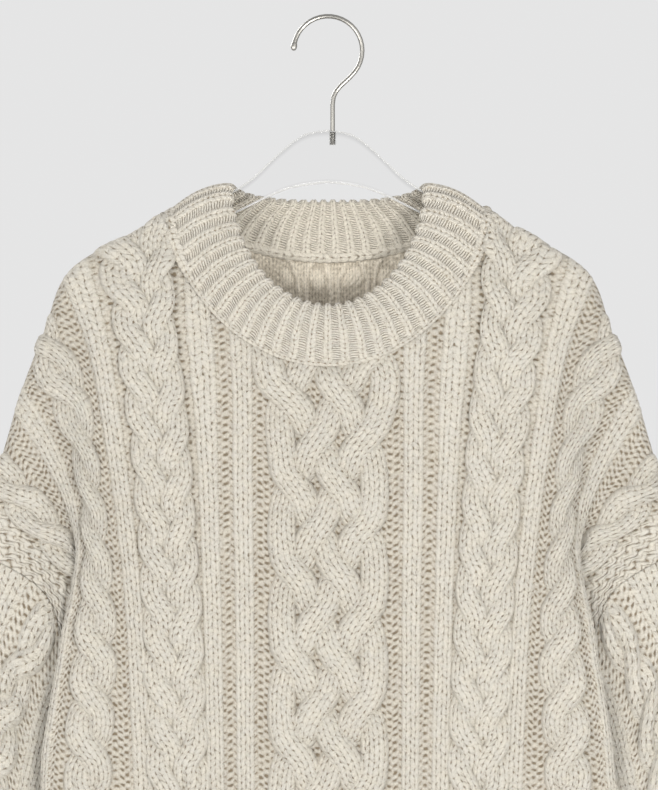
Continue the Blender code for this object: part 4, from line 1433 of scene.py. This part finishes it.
def add_lamp(name, place, target, size, power):
    data = bpy.data.lights.new(name, "AREA")
    data.shape = "DISK"
    data.size = size
    data.energy = power
    data.color = LAMP_COLOUR
    lamp = link(name, data)
    lamp.location = place
    way = np.array(target, float) - np.array(place, float)
    tilt = math.acos(-way[2] / np.linalg.norm(way))
    lamp.rotation_euler = (tilt, 0, math.atan2(way[1], way[0]) - math.pi / 2)


def make_stage():
    """Pale floor and a pale, evenly lit room."""
    mesh = bpy.data.meshes.new("floor")
    corners = [(x * FLOOR_HALF, y * FLOOR_HALF, FLOOR_Z)
               for x, y in ((-1, -1), (1, -1), (1, 1), (-1, 1))]
    mesh.from_pydata(corners, [], [(0, 1, 2, 3)])
    net = Net("floor_pale")
    net.shade({"Base Color": (0.8, 0.8, 0.8, 1), "Roughness": 0.9})
    mesh.materials.append(net.material)
    link("floor", mesh)

    world = bpy.data.worlds.new("room")
    bpy.context.scene.world = world
    world.use_nodes = True
    background = world.node_tree.nodes["Background"]
    background.inputs["Color"].default_value = ROOM_COLOUR
    background.inputs["Strength"].default_value = 1.0
    for lamp in LAMPS:
        add_lamp(*lamp)
    bpy.context.scene.view_settings.view_transform = "Standard"


# ---- build

def make_panels(wool):
    """The front and the back, each with its cables and its wrong side."""
    front = PanelForm(-1)
    back = PanelForm(1)
    front_cloth = cloth_sheet(front, "front_cloth", wool, KNIT_SPOTS, PER_ROW)
    front_extra = [
        cable_piece(front, "front_plait", PLAITS, wool, STRAND_SPOTS, PER_ROW),
        cable_piece(front, "front_v_cables", CHEVRONS, wool, STRAND_SPOTS, PER_ROW),
        cable_piece(front, "front_ropes", ROPES, wool, STRAND_SPOTS, PER_ROW),
        inner_side(front, "front_inside", wool),
    ]
    back_cloth = cloth_sheet(back, "back_cloth", wool, COARSE_SPOTS, COARSE_PER_ROW)
    cables = PLAITS + CHEVRONS + ROPES
    back_extra = [
        cable_piece(back, "back_cables", cables, wool, COARSE_STRAND_SPOTS, COARSE_PER_ROW),
        inner_side(back, "back_inside", wool),
    ]
    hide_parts("front_panel")
    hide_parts("back_panel")
    return front, back


def make_neck(rib):
    """The collar, the seam inside the back of the neck and the one round it."""
    collar = make_collar(rib)
    behind = np.linspace(0.5, 1.0, 200)
    behind = behind[neck_at(behind)[:, 1] > 9]
    line = neck_seam(behind, out_by=-7.0, up_by=-1.5)
    # A recess of -1 gives the seam the wrong side's painted light
    chain = make_chain("back_neck_seam", line, radius=4.6, bead=7.0, material=rib, recess=-1.0)
    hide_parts("collar_rib")
    line = neck_seam(np.linspace(0, 1, 600), out_by=0.5, up_by=-0.5)
    # It is thicker at the neck's corners
    radius = 2.8 + 3.0 * ease(112, 132, np.abs(line[:, 0]))
    join = make_chain("neck_join", line, radius=radius, bead=5.0, material=rib, recess=0.0)


def main():
    wool = knit_material("wool_cream_look", WOOL_LOOK)
    rib = knit_material("wool_rib_look", RIB_LOOK)
    front, back = make_panels(wool)
    make_neck(rib)

    for form, name in ((front, "front_hem"), (back, "back_hem")):
        hem = make_hem(form, name, rib)
        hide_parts(name + "_rib")

    for label, hand in (("left", 1), ("right", -1)):
        form = SleeveForm(hand)
        sleeve = make_sleeve(form, "sleeve_%s_cloth" % label, wool)
        cables = make_sleeve_cables(form, "sleeve_%s_cables" % label, wool)
        cuff = make_cuff(form, "cuff_%s" % label, rib)
        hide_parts("sleeve_" + label)
        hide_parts("cuff_rib_" + label)

    bpy.data.objects["hanger_plate"].material_slots[0].material = acrylic_material()
    bpy.data.objects["hanger_hook"].material_slots[0].material = steel_material()
    make_stage()
    make_camera()


main()
